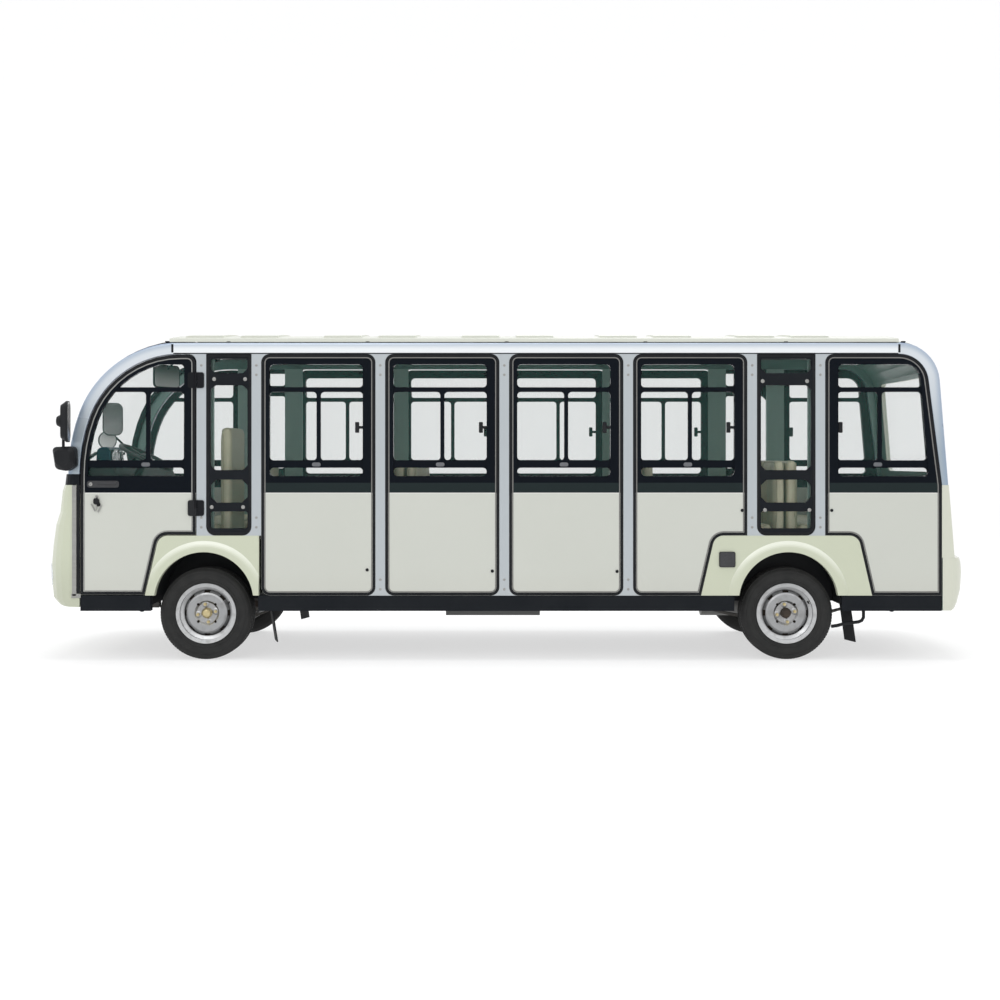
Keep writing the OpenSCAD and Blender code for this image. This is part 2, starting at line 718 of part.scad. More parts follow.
wheel_y = 370;
wheel_mid = [front_x + 480, 1315];
column_tilt = 26;
column_len = 540;
column_r = 24;
module on_column() {
  translate([wheel_mid[0], wheel_y, wheel_mid[1]]) rotate([0, -column_tilt, 0]) children();
}
module steering_column() {
  color("black") on_column() translate([0, 0, -column_len]) cylinder(r = column_r, h = column_len - 19);
}
module steering_wheel() {
  color("black") on_column() {
    rotate_extrude() translate([182, 0]) circle(r = 13, $fn = 24);
    translate([0, 0, -18]) cylinder(r = 42, h = 26);
    for (a = [90, 210, 330]) rotate([0, 0, a]) translate([30, -14, -10]) cube([148, 28, 12]);
  }
}
module dashboard() {
  color("dimgray") difference() {
    rotate([90, 0, 0]) linear_extrude(2 * screen_w - 0.6, center = true) polygon(rounded([
      [front_x + 590, 900, 30], [front_x + 790, 900, 0], [front_x + 840, 1210, 20], [front_x + 790, 1285, 30],
      [front_x + 620, 1290, 50], [front_x + 545, 1150, 60]
    ]));
    on_column() translate([0, 0, -column_len - 50]) cylinder(r = column_r + 0.3, h = column_len);
  }
  color("dimgray") translate([0, wheel_y + pod_w / 2, 0]) rotate([90, 0, 0]) linear_extrude(pod_w) polygon(rounded([
    [front_x + 672, 1260, 0], [front_x + 772, 1260, 0], [front_x + 766, 1376, 34], [front_x + 686, 1388, 26]
  ]));
}
pod_w = 290;

// Rear

function tail_line(z0, a1) = concat(
  [[tail_wall(z0, 0), z0], [tail_wall(window_z, 0), window_z]],
  [for (a = [180 - tail_lean:-(90 - tail_lean) / 6:a1]) [tail_cx + tail_r * cos(a), tail_top_z + tail_r * sin(a)]]
);
rear_glass_low = 1215;
rear_glass_high = 1860;
module rear_glass_cut(d) {
  translate([tail_x - 100, 0, (rear_glass_low + rear_glass_high) / 2]) rotate([90, 0, 90]) linear_extrude(700)
    polygon(rounded(box_rows(-580 - d, 580 + d, -(rear_glass_high - rear_glass_low) / 2 - d, (rear_glass_high - rear_glass_low) / 2 + d, 60)));
}
module rear_body() {
  color("beige") {
    difference() {
      skin(tail_line(bumper_z, 90), screen_w, tail_bow, -30, 0, -1);
      rear_glass_cut(0);
    }
    both_sides() side_plate(half_w - frame_d, half_w) polygon([
      [tail_wall(bumper_z, 0), bumper_z], [tail_wall(tail_belt, 0), tail_belt],
      [tail_wall(tail_belt, -tail_band), tail_belt], [tail_wall(tail_belt, -tail_band), bumper_z]
    ]);
  }
}
module rear_window() {
  color("lightblue") intersection() {
    skin(tail_line(bumper_z, 90), screen_w, tail_bow, -16, -11, -1);
    rear_glass_cut(-seat_gap_fixed);
  }
}

module rear_bumper() {
  color("beige") rings([for (row = bumper_rows) wrap_ring(row, bumper_corner_x, bumper_front, bumper_bow, 0, 30, -1)]);
}

tail_lamp = [595, 860];
module tail_lights() {
  color("firebrick") intersection() {
    skin(tail_line(bumper_z, 90), screen_w, tail_bow, 0.3, 16, -1);
    both_sides() translate([tail_x - 100, tail_lamp[0], tail_lamp[1]]) rotate([90, 0, 90]) linear_extrude(600)
      polygon(rounded(box_rows(-42, 42, -115, 115, 30)));
  }
}

// Fenders and wheel housings

module wheel_opening(x, r) {
  translate([x, opening_z]) circle(r = r, $fn = 96);
}

// Section of the lip: full at the opening, crowned, and flush at its outer edge
lip_section = concat([[opening_r, half_w - 2]],
  [for (i = [0:8]) let (t = i / 8) [opening_r + lip_w * t, half_w - 1 + (lip_h + 1) * (0.75 + 1.25 * t - 2 * t * t)]],
  [[opening_r + lip_w, half_w - 2]]);

module fender(x, side) {
  side_plate(half_w - 36, half_w - 1, side) difference() {
    children();
    wheel_opening(x, opening_r);
    translate([x - opening_r, 0]) square([2 * opening_r, opening_z]);
  }
  intersection() {
    mirror([0, side > 0 ? 1 : 0, 0]) translate([x, 0, opening_z]) rotate([90, 0, 0])
      rotate_extrude($fn = 96) polygon(lip_section);
    side_plate(half_w - 3, half_w + 40, side) intersection() {
      children();
      translate([x - 500, opening_z + 42]) square([1000, 1000]);
    }
  }
}

module front_fenders() {
  color("beige") for (side = [1, -1]) fender(front_x, side) polygon(rounded(front_fender_rows(0)));
}
module rear_fenders() {
  color("beige") for (side = [1, -1]) fender(rear_x, side) polygon(rounded(rear_fender_rows(0)));
}

housing_t = 5;
module housing(x, y0) {
  difference() {
    side_plate(y0, half_w - 36.5) housing_outline(x, housing_half);
    side_plate(y0 + housing_t, half_w) housing_outline(x, housing_half - housing_t);
  }
}
module housing_outline(x, r) {
  wheel_opening(x, r);
  translate([x - r, floor_z - floor_t + 1]) square([2 * r, opening_z - floor_z + floor_t + 30]);
}
module wheel_housings() {
  color("black") both_sides() difference() {
    union() {
      housing(front_x, front_housing_y);
      housing(rear_x, rear_housing_y);
    }
    translate([-5000, -2000, 0]) cube([10000, 4000, opening_z - 20]);
  }
}

// Fixed side panels of the left, the quarter panels, and their glass

module side_panels() {
  color("gainsboro") {
    for (i = [1:4]) bay_leaf(i, 1, seat_gap_fixed);
    for (side = [1, -1]) quarter_leaf(side);
  }
}
module side_glass() {
  color("lightblue") {
    for (i = [1:4]) bay_pane(i, 1);
    for (side = [1, -1]) quarter_pane(side);
    for (side = [1, -1]) for (w = narrow_bays) side_plate(leaf_y + 6, leaf_y + 6 + glass_t, side)
      narrow_outline(w[0], w[1], 30);
  }
}

// Narrow windows over the wheels: rows are [rear edge, front edge]
narrow_bays = [
  [bay_rear(0) + seat_gap_fixed, bay_front(0) - seat_gap_fixed],
  [bay_rear(5) + seat_gap_fixed, bay_front(5) - seat_gap_fixed]
];
narrow_low = fender_top + seat_gap_fixed;
narrow_r = 60;
// Cut-outs of a narrow window from the top down: rows are [lower edge, upper edge, corner]
narrow_holes = [[1858, 1950, 8], [1232, 1780, 20], [1022, 1170, 36], [856, 965, 8]];
module narrow_outline(x0, x1, d) {
  polygon(rounded([[x0 + d, narrow_low + d, narrow_r], [x1 - d, narrow_low + d, narrow_r], [x1 - d, rail_low - seat_gap_fixed - d, 12], [x0 + d, rail_low - seat_gap_fixed - d, 12]]));
}
module narrow_frames() {
  color("black") for (side = [1, -1]) for (w = narrow_bays)
    side_plate(leaf_y + 6 + glass_t, leaf_y + leaf_t, side) difference() {
      narrow_outline(w[0], w[1], 0);
      for (h = narrow_holes) polygon(rounded(box_rows(w[0] + 26, w[1] - 26, h[0], h[1], h[2]), 1));
    }
}

// Seats: rows are [backrest x, facing, number abreast]
pair_x = p2 - 951;
row_x = p6 + 620;
rows = [[pair_x + 2, 1, 3], [pair_x - 2, -1, 3], [row_x, 1, 3], [rear_x - 5, 1, 3], [rear_x - 9, -1, 3]];
seat_gap = 10;
module cushion(w, d, h, r) {
  rotate([90, 0, 0]) linear_extrude(w, center = true) polygon(rounded(box_rows(0, d, 0, h, r)));
}
module seat(w, back) {
  translate([back_t, 0, seat_z - seat_t]) cushion(w, seat_d, seat_t, 30);
  translate([0, 0, seat_z - seat_t]) cushion(w, back_t - 4, back + seat_t, 30);
}
module front_seats() {
  color("wheat") {
    translate([front_x - 150, wheel_y, 0]) seat(470, 640);
    translate([front_x - 250, -wheel_y, 0]) seat(470, back_h);
  }
}
module cabin_seats() {
  color("wheat") for (row = rows) for (j = [0:row[2] - 1])
    translate([row[0], (j - (row[2] - 1) / 2) * (seat_w + seat_gap), 0]) facing(row[1]) seat(seat_w, back_h);
}
module facing(f) {
  rotate([0, 0, f > 0 ? 0 : 180]) children();
}
base_w = 3 * (seat_w + seat_gap) - 60;
module seat_frames() {
  color("gray") {
    for (row = rows) translate([row[0], 0, 0]) facing(row[1])
      translate([4, -base_w / 2, seat_foot(row[0])]) cube([back_t + seat_d - 44, base_w, seat_z - seat_t - seat_foot(row[0])]);
    for (s = [[front_x - 150, 1], [front_x - 250, -1]])
      translate([s[0] + 4, s[1] * wheel_y - 190, opening_z + housing_half]) cube([420, 380, seat_z - seat_t - opening_z - housing_half]);
  }
}
function seat_foot(x) = abs(x - rear_x) < 100 ? opening_z + housing_half : floor_z;

// Drive and battery: plain blocks at their real places

battery_z = 240;
module battery_pack() {
  color("darkslategray") translate([p6 + 1.7 * bay_pitch, -(rail_gap - beam_w) / 2, battery_z])
    cube([0.8 * bay_pitch, rail_gap - beam_w, floor_z - floor_t - battery_z]);
}
motor_x = 140;
module drive_motor() {
  color("gray") translate([rear_x + motor_x, 0, wheel_z]) rotate([0, 90, 0]) cylinder(r = 95, h = 320);
}

module axle_tube(x, z, y, r) {
  translate([x, 0, z]) rotate([90, 0, 0]) cylinder(r = r, h = 2 * y, center = true);
}
beam_z = wheel_z - 55;
beam_half = 25;
boss_r = 30;
pin_r = 12;
module front_axle() {
  color("dimgray") {
    translate([front_x - 30, -kingpin_w / 2 + 20, beam_z - beam_half]) cube([60, kingpin_w - 40, 2 * beam_half]);
    both_sides() translate([front_x, kingpin_w / 2, beam_z - beam_half]) difference() {
      union() {
        cylinder(r = boss_r, h = 110);
        translate([-30, -40, 0]) cube([60, 40, 2 * beam_half]);
      }
      translate([0, 0, -10]) cylinder(r = pin_r + 0.08, h = 200);
    }
  }
}

// A knuckle: an arm above and below the axle's boss, on the kingpin, with a web that
// carries the hub and its spigot
arm_t = 22;
knuckle_low = beam_z - beam_half - 5 - arm_t;
knuckle_high = beam_z - beam_half + 115;
web_y = kingpin_w / 2 + 38;
module knuckle(side) {
  mirror([0, side < 0 ? 1 : 0, 0]) color("gray") {
    translate([front_x, kingpin_w / 2, knuckle_low]) cylinder(r = pin_r, h = knuckle_high + arm_t - knuckle_low);
    for (z = [knuckle_low, knuckle_high]) {
      translate([front_x, kingpin_w / 2, z]) cylinder(r = 30, h = arm_t);
      translate([front_x - 26, kingpin_w / 2, z]) cube([52, web_y + 7 - kingpin_w / 2, arm_t]);
    }
    translate([front_x - 26, web_y, knuckle_low]) cube([52, 14, knuckle_high + arm_t - knuckle_low]);
    hub(front_x, web_y + 2);
  }
}
// Hub from y0 out to the wheel's face, with the spigot that centres the wheel
module hub(x, y0) {
  translate([x, y0, wheel_z]) rotate([-90, 0, 0]) {
    cylinder(r = 60, h = hub_face - 0.3 - y0);
    cylinder(r = 28, h = hub_face + 26 - y0);
  }
}
module rear_axle() {
  color("dimgray") {
    axle_tube(rear_x, wheel_z, hub_face - 20, 36);
    both_sides() {
      hub(rear_x, hub_face - 50);
      translate([rear_x - 40, rail_gap / 2 - 25, wheel_z - 60]) cube([80, 50, 50]);
    }
    translate([rear_x, 60, wheel_z]) rotate([90, 0, 0]) cylinder(r = 105, h = 120);
    translate([rear_x, 0, wheel_z]) rotate([0, 90, 0]) cylinder(r = 60, h = motor_x);
  }
}

// Springs: a bowed leaf pack with an eye at each end, on hangers below the rails.
// Rows are [axle x, half length, top of the pack at its middle]
springs = [[front_x, 422, beam_z - beam_half], [rear_x, 545, wheel_z - 60]];
spring_w = 44;
spring_t = 20;
spring_eye = 318;
eye_r = 19;
eye_bore = 8.3;
module leaf_springs() {
  color("dimgray") both_sides() for (s = springs)
    translate([s[0], rail_gap / 2 + spring_w / 2, 0]) rotate([90, 0, 0]) linear_extrude(spring_w) spring_outline(s[1], s[2] - 0.3);
}
function spring_top(t, top) = top + (spring_eye + 6 - top) * pow(max(0, abs(t) - 0.1) / 0.9, 2);
module spring_outline(h, top) {
  difference() {
    union() {
      polygon(concat(
        [for (i = [-10:10]) [h * i / 10, spring_top(i / 10, top)]],
        [for (i = [10:-1:-10]) [h * i / 10, spring_top(i / 10, top) - 9 - spring_t * (1 - abs(i) / 10)]]
      ));
      for (s = [-1, 1]) translate([s * h, spring_eye]) circle(r = eye_r);
    }
    for (s = [-1, 1]) translate([s * h, spring_eye]) circle(r = eye_bore);
  }
}
// Two cheeks and a pin that carry a spring eye below the rail
module hanger(x) {
  for (s = [-1, 1]) translate([x - 22, rail_gap / 2 + s * (spring_w / 2 + 3.5) - 3, spring_eye - 20])
    cube([44, 6, floor_z - floor_t - beam_h - seat_gap_fixed - spring_eye + 20]);
  translate([x, rail_gap / 2, spring_eye]) rotate([90, 0, 0]) cylinder(r = 8, h = spring_w + 12, center = true);
}

// Mud flaps hang behind the wheels, lean back a little and stand askew. Rows are
// [x of the upper edge, width]
flap_y = 545;
flap_low = 105;
flap_rows = [[front_x - 372, 128], [rear_x - 372, 128]];
module mud_flaps() {
  color("black") both_sides() for (row = flap_rows)
    translate([row[0], flap_y, floor_z - floor_t - seat_gap_fixed]) rotate([0, 0, 17]) rotate([0, 9, 0])
      translate([-8, 0, flap_low - floor_z + floor_t]) difference() {
        cube([8, row[1], floor_z - floor_t - flap_low]);
        translate([-1, -1, floor_z - floor_t - flap_low - 1.4]) cube([10, row[1] + 2, 20]);
      }
}

// Outside fittings

// A mirror head: a plate with a rounded outline and a smaller, crowned back. It faces the
// rear, and turn points its face towards the driver
module mirror_head(p, w, h, r, depth, turn) {
  translate(p) rotate([0, 0, turn]) rotate([90, 0, 90]) {
    linear_extrude(14) polygon(rounded(box_rows(-w / 2, w / 2, -h / 2, h / 2, r)));
    hull() {
      translate([0, 0, 13]) linear_extrude(1) polygon(rounded(box_rows(-w / 2 + 2, w / 2 - 2, -h / 2 + 2, h / 2 - 2, r - 2)));
      translate([0, 0, depth - 1]) linear_extrude(1)
        polygon(rounded(box_rows(-w / 3, w / 3, -h / 2 + 26, h / 2 - 26, r * 0.6)));
    }
  }
}

// A rod of radius r between two points
module rod(a, b, r) {
  d = b - a;
  translate(a) rotate([0, acos(d[2] / norm(d)), atan2(d[1], d[0])]) cylinder(r = r, h = norm(d));
}

// The foot of a mirror arm, on the outside of the front arch
mirror_foot = [nose_x - 195, 1306];
module mirror_base(reach) {
  hull() {
    side_plate(half_w + 0.3, half_w + 70) polygon(rounded([
      [mirror_foot[0] - 70, mirror_foot[1] - 50, 28], [mirror_foot[0] - 20, mirror_foot[1] - 80, 36],
      [mirror_foot[0] + 52, mirror_foot[1] - 66, 34], [mirror_foot[0] + 74, mirror_foot[1] + 74, 26],
      [mirror_foot[0] - 66, mirror_foot[1] + 80, 30]
    ]));
    side_plate(half_w + reach - 1, half_w + reach) polygon(rounded([
      [mirror_foot[0] - 50, mirror_foot[1] - 30, 28], [mirror_foot[0] + 40, mirror_foot[1] - 48, 30],
      [mirror_foot[0] + 54, mirror_foot[1] + 52, 26], [mirror_foot[0] - 46, mirror_foot[1] + 56, 30]
    ]));
  }
}

// Left: a tall head on a short stem. Right: a tall and a round head on an arm that reaches
// ahead of the corner. Middle: the inside mirror below the header
left_head = [nose_x - 236, half_w + 90, 1542];
right_head = [nose_x - 63, -half_w + 122, 1602];
round_head = [nose_x - 26, -half_w + 132, 1443];
arm_end = [right_head[0] + 26, right_head[1] - 40, 1500];
inside_head = [front_x + 422, 60, 1880];
// The inside mirror's stem ends just below the header, square to it
stem_angle = 75;
stem_y = screen_w / 20;
function stem_point(d) =
  let (r = (arch_r1 - 26 + (screen_bow - 20) * bow(stem_y, half_w)) * cos(3) - d)
  [c1[0] + r * cos(stem_angle), stem_y, c1[1] + r * sin(stem_angle)];
module mirrors() {
  color("black") {
    mirror_base(100);
    rod([left_head[0] + 42, left_head[1] - 20, mirror_foot[1] + 40], left_head + [42, -20, 10], 9);
    mirror_head(left_head, 160, 262, 52, 46, 12);
    translate(left_head + [44, -6, 4]) rotate([0, 90, 0]) cylinder(r1 = 46, r2 = 30, h = 30);
    mirror([0, 1, 0]) mirror_base(128);
    rod([mirror_foot[0] + 40, -half_w - 60, mirror_foot[1] + 40], arm_end, 8);
    translate(arm_end) sphere(r = 11);
    rod(arm_end, right_head + [16, -14, 0], 8);
    rod(arm_end, round_head + [14, -12, 0], 8);
    mirror_head(right_head, 150, 246, 48, 36, -56);
    mirror_head(round_head, 138, 138, 68, 30, -56);
    mirror_head(inside_head, 250, 160, 30, 26, -28);
    rod(inside_head + [10, -4, 40], stem_point(50), 7);
    translate(stem_point(50)) sphere(r = 9);
    rod(stem_point(50), stem_point(0.5), 7);
  }
}

module charge_cover() {
  color("black") translate([rear_x + 395, 0, 655]) side_plate(half_w - 1, half_w + 8)
    polygon(rounded(box_rows(-52, 52, -50, 50, 12)));
}

// Wipers parked along the foot of the windscreen; rows are [pivot y, tip y, tip level]
wiper_runs = [[-60, -560, 1345], [440, -40, 1345]];
wiper_foot = 1232;
module wipers() {
  color("black") intersection() {
    skin(screen_line(0, 14, 6), screen_w - 20, screen_bow - 20, 0.3, 16);
    for (w = wiper_runs) translate([nose_x - 400, 0, 0]) rotate([90, 0, 90]) linear_extrude(600)
      polygon([[w[0] - 14, wiper_foot - 10], [w[0] + 14, wiper_foot + 6], [w[1] + 5, w[2] + 9], [w[1] - 5, w[2] - 9]]);
  }
}

// Wheels, with +Z of the local frame pointing out of the body

hub_face = track / 2 + 28;
module wheel_place(x, side) {
  translate([x, side * track / 2, wheel_z]) rotate([side > 0 ? -90 : 90, 0, 0]) children();
}
rim_r = rim_d / 2;
seat_r = rim_r - 18;
drop_r = seat_r - 22;
hub_bore = 28.4;
module rim() {
  color("silver") difference() {
    rotate_extrude($fn = 96) polygon([
      [rim_r, 70], [rim_r, 65], [seat_r, 60], [seat_r, 36], [drop_r, 24], [drop_r, -20], [seat_r, -34], [seat_r, -60],
      [rim_r, -65], [rim_r, -70], [seat_r - 5, -66], [seat_r - 5, -37], [drop_r - 5, -23], [drop_r - 5, 9],
      [drop_r - 9, 12], [129, 35], [118, 40], [84, 40], [70, 28], [hub_bore, 28], [hub_bore, 34], [67, 34], [81, 46],
      [121, 46], [132, 41], [drop_r - 5, 20], [drop_r - 5, 27], [seat_r - 5, 39], [seat_r - 5, 66]
    ]);
    for (a = [0:45:315]) translate([0, 0, 1]) linear_extrude(60)
      polygon(concat(arc([0, 0], 147, a - 8, a + 8, 4), arc([0, 0], 133, a + 8, a - 8, 4)));
    for (a = [45:90:315]) rotate([0, 0, a]) translate([79, 0, 1]) cylinder(r = 9, h = 60);
  }
}
module tyre() {
  color("black") rotate_extrude($fn = 96) polygon(concat(
    [[seat_r + 0.3, -58], [seat_r + 0.3, 58], [rim_r + 1, 63]],
    rounded_side(1), reversed(rounded_side(-1)), [[rim_r + 1, -63]]
  ));
}
function rounded_side(s) = [
  [rim_r + 4, s * 72], [rim_r + 28, s * (tyre_w / 2 - 3)], [rim_r + 50, s * tyre_w / 2], [wheel_z - 32, s * (tyre_w / 2 - 4)],
  [wheel_z - 12, s * (tyre_w / 2 - 14)], [wheel_z - 3, s * (tyre_w / 2 - 28)], [wheel_z, s * (tyre_w / 2 - 50)]
];

module driver_door() {
  color("gainsboro") {
    driver_leaf(1);
    for (z = hinge_levels) hinge_door(driver_rear - gap / 2, z, 1);
  }
}
module front_right_door() {
  color("gainsboro") {
    driver_leaf(-1);
    for (z = hinge_levels) mirror([0, 1, 0]) hinge_door(driver_rear - gap / 2, z, 1);
  }
}
module right_door(i) {
  color("gainsboro") {
    bay_leaf(i, -1, gap);
    for (z = hinge_levels) mirror([0, 1, 0]) hinge_door(bay_front(i) - gap / 2, z, -1);
  }
}

chassis_frame();
floor_deck();
side_sills();
pillars();
cant_rails();
arches();
roof_panel();
nose();
windscreen_frame();
windscreen();
headlights();
dashboard();
steering_column();
rear_body();
rear_window();
rear_bumper();
tail_lights();
front_fenders();
rear_fenders();
wheel_housings();
inner_posts();
side_panels();
side_glass();
narrow_frames();
front_seats();
cabin_seats();
seat_frames();
battery_pack();
drive_motor();
front_axle();
rear_axle();
leaf_springs();
mud_flaps();
mirrors();
charge_cover();
wipers();
driver_door();
color("lightblue") driver_pane(1);  // driver_door_glass
front_right_door();
color("lightblue") driver_pane(-1);  // front_right_door_glass
right_door(1);  // right_door_2
color("lightblue") bay_pane(1, -1);  // right_door_2_glass
right_door(2);  // right_door_3
color("lightblue") bay_pane(2, -1);  // right_door_3_glass
right_door(3);  // right_door_4
color("lightblue") bay_pane(3, -1);  // right_door_4_glass
right_door(4);  // right_door_5
color("lightblue") bay_pane(4, -1);  // right_door_5_glass
steering_wheel();
knuckle(1);  // left_knuckle
knuckle(-1);  // right_knuckle
wheel_place(front_x, 1) rim();  // front_left_rim
wheel_place(front_x, 1) tyre();  // front_left_tyre
wheel_place(front_x, -1) rim();  // front_right_rim
wheel_place(front_x, -1) tyre();  // front_right_tyre
wheel_place(rear_x, 1) rim();  // rear_left_rim
wheel_place(rear_x, 1) tyre();  // rear_left_tyre
wheel_place(rear_x, -1) rim();  // rear_right_rim
wheel_place(rear_x, -1) tyre();  // rear_right_tyre
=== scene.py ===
import math

import bmesh
import bpy
from mathutils import Matrix, Vector
from mathutils.bvhtree import BVHTree


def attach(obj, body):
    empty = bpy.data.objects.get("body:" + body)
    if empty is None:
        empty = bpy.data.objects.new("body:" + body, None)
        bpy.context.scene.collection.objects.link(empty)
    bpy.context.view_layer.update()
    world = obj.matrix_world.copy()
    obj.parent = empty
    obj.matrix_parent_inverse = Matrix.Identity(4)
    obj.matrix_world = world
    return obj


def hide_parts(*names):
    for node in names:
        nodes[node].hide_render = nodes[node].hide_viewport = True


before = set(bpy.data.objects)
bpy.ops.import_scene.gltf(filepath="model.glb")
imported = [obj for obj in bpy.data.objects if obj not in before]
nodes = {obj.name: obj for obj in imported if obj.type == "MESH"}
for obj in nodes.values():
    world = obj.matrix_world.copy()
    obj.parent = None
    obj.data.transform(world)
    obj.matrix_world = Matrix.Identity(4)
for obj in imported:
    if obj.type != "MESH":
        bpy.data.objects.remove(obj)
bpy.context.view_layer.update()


# The studio: a white paper bowl round the bus that glows a little, as a light tent does,
# three soft lamps above, and the camera square to the driver's side.
def placed(name, data):
    """A new object in the scene, at the origin."""
    made = bpy.data.objects.new(name, data)
    bpy.context.scene.collection.objects.link(made)
    return made


def as_mesh(shape, name):
    """Turns a shape into a mesh and lets go of the shape."""
    data = bpy.data.meshes.new(name)
    shape.to_mesh(data)
    shape.free()
    return data


def spun(points, axis, steps, closed=True):
    """A row of points spun full circle about an axis through the origin."""
    shape = bmesh.new()
    row = [shape.verts.new(point) for point in points]
    for one, other in zip(row, row[1:] + row[:1] if closed else row[1:]):
        shape.edges.new((one, other))
    bmesh.ops.spin(shape, geom=shape.verts[:] + shape.edges[:], axis=axis, cent=(0, 0, 0),
                   angle=2 * math.pi, steps=steps, use_merge=True)
    bmesh.ops.remove_doubles(shape, verts=shape.verts[:], dist=1e-5)
    bmesh.ops.recalc_face_normals(shape, faces=shape.faces[:])
    return shape


world = bpy.data.worlds.new("studio_air")
bpy.context.scene.world = world
world.use_nodes = True
air = world.node_tree.nodes["Background"].inputs
air["Color"].default_value = (0.93, 0.96, 1.0, 1)
air["Strength"].default_value = 0.7
bpy.context.scene.view_settings.view_transform = "Standard"

floor_radius, bend, wall_top = 13, 4, 26
outline = [(0, 0, 0), (floor_radius, 0, 0)]
outline += [(floor_radius + bend * math.sin(a), 0, bend - bend * math.cos(a))
            for a in [math.radians(d) for d in range(9, 91, 9)]]
outline += [(floor_radius + bend, 0, wall_top)]
paper_shape = spun(outline, (0, 0, 1), 96, closed=False)
if min(paper_shape.faces, key=lambda face: face.calc_center_median().length).normal.z < 0:
    bmesh.ops.reverse_faces(paper_shape, faces=paper_shape.faces[:])
paper_mesh = as_mesh(paper_shape, "studio_paper")
paper_mesh.shade_smooth()
bowl = placed("studio_paper", paper_mesh)
paper = bpy.data.materials.new("studio_paper")
paper.use_nodes = True
paper_shader = paper.node_tree.nodes["Principled BSDF"]
for socket, value in {"Base Color": (0.42, 0.42, 0.42, 1), "Roughness": 0.95, "Specular IOR Level": 0.1,
                      "Emission Color": (1, 1, 1, 1), "Emission Strength": 0.60}.items():
    paper_shader.inputs[socket].default_value = value
paper.cycles.emission_sampling = "NONE"
paper_mesh.materials.append(paper)

# Rows are name, place, width, height, power; all aim at the middle of the bus
aim = Vector((0, 0, 1))
for name, place, wide, tall, power in [("key_light", (3.5, 8.0, 7.0), 6.0, 3.0, 90),
                                       ("top_light", (0.0, 0.0, 8.0), 8.0, 5.0, 420),
                                       ("far_light", (-3.0, -8.5, 7.5), 6.0, 3.0, 90)]:
    lamp = bpy.data.lights.new(name, "AREA")
    lamp.shape = "RECTANGLE"
    lamp.size = wide
    lamp.size_y = tall
    lamp.energy = power
    holder = placed(name, lamp)
    holder.location = place
    holder.rotation_euler = (aim - Vector(place)).to_track_quat("-Z", "Y").to_euler()
    holder.visible_camera = False

lens = bpy.data.cameras.new("camera")
lens.lens = 46.3
lens.sensor_width = 36
lens.shift_x = -0.012
lens.shift_y = -0.042
camera = placed("camera", lens)
camera.location = (-0.03, 9.05, 1.31)
camera.rotation_euler = (math.radians(90), 0, math.radians(180))
bpy.context.scene.camera = camera


# The body frame: pillars, roof rails and the broad arch at each end, bent from aluminium
# section and sprayed satin silver. The hinge leaves that sit proud on the pillars are black.
class Wire:
    """One output of a shader node. Sums and products of wires add their own Math nodes."""

    def __init__(self, finish, socket):
        self.finish = finish
        self.socket = socket

    def math(self, operation, *values):
        return self.finish.node("Math", {"operation": operation}, dict(enumerate(values)))

    def __add__(self, other):
        return self.math("ADD", self, other)

    def __sub__(self, other):
        return self.math("SUBTRACT", self, other)

    def __rsub__(self, other):
        return self.math("SUBTRACT", other, self)

    def __mul__(self, other):
        return self.math("MULTIPLY", self, other)

    def __gt__(self, other):
        return self.math("GREATER_THAN", self, other)

    def __lt__(self, other):
        return self.math("LESS_THAN", self, other)

    def __abs__(self):
        return self.math("ABSOLUTE", self)

    def wave(self):
        return self.math("SINE", self)

    def between(self, low, high):
        """Smooth rise from 0 at low to 1 at high."""
        return self.finish.node("MapRange", {"interpolation_type": "SMOOTHSTEP"},
                                {"Value": self, "From Min": low, "From Max": high})

    __radd__ = __add__
    __rmul__ = __mul__


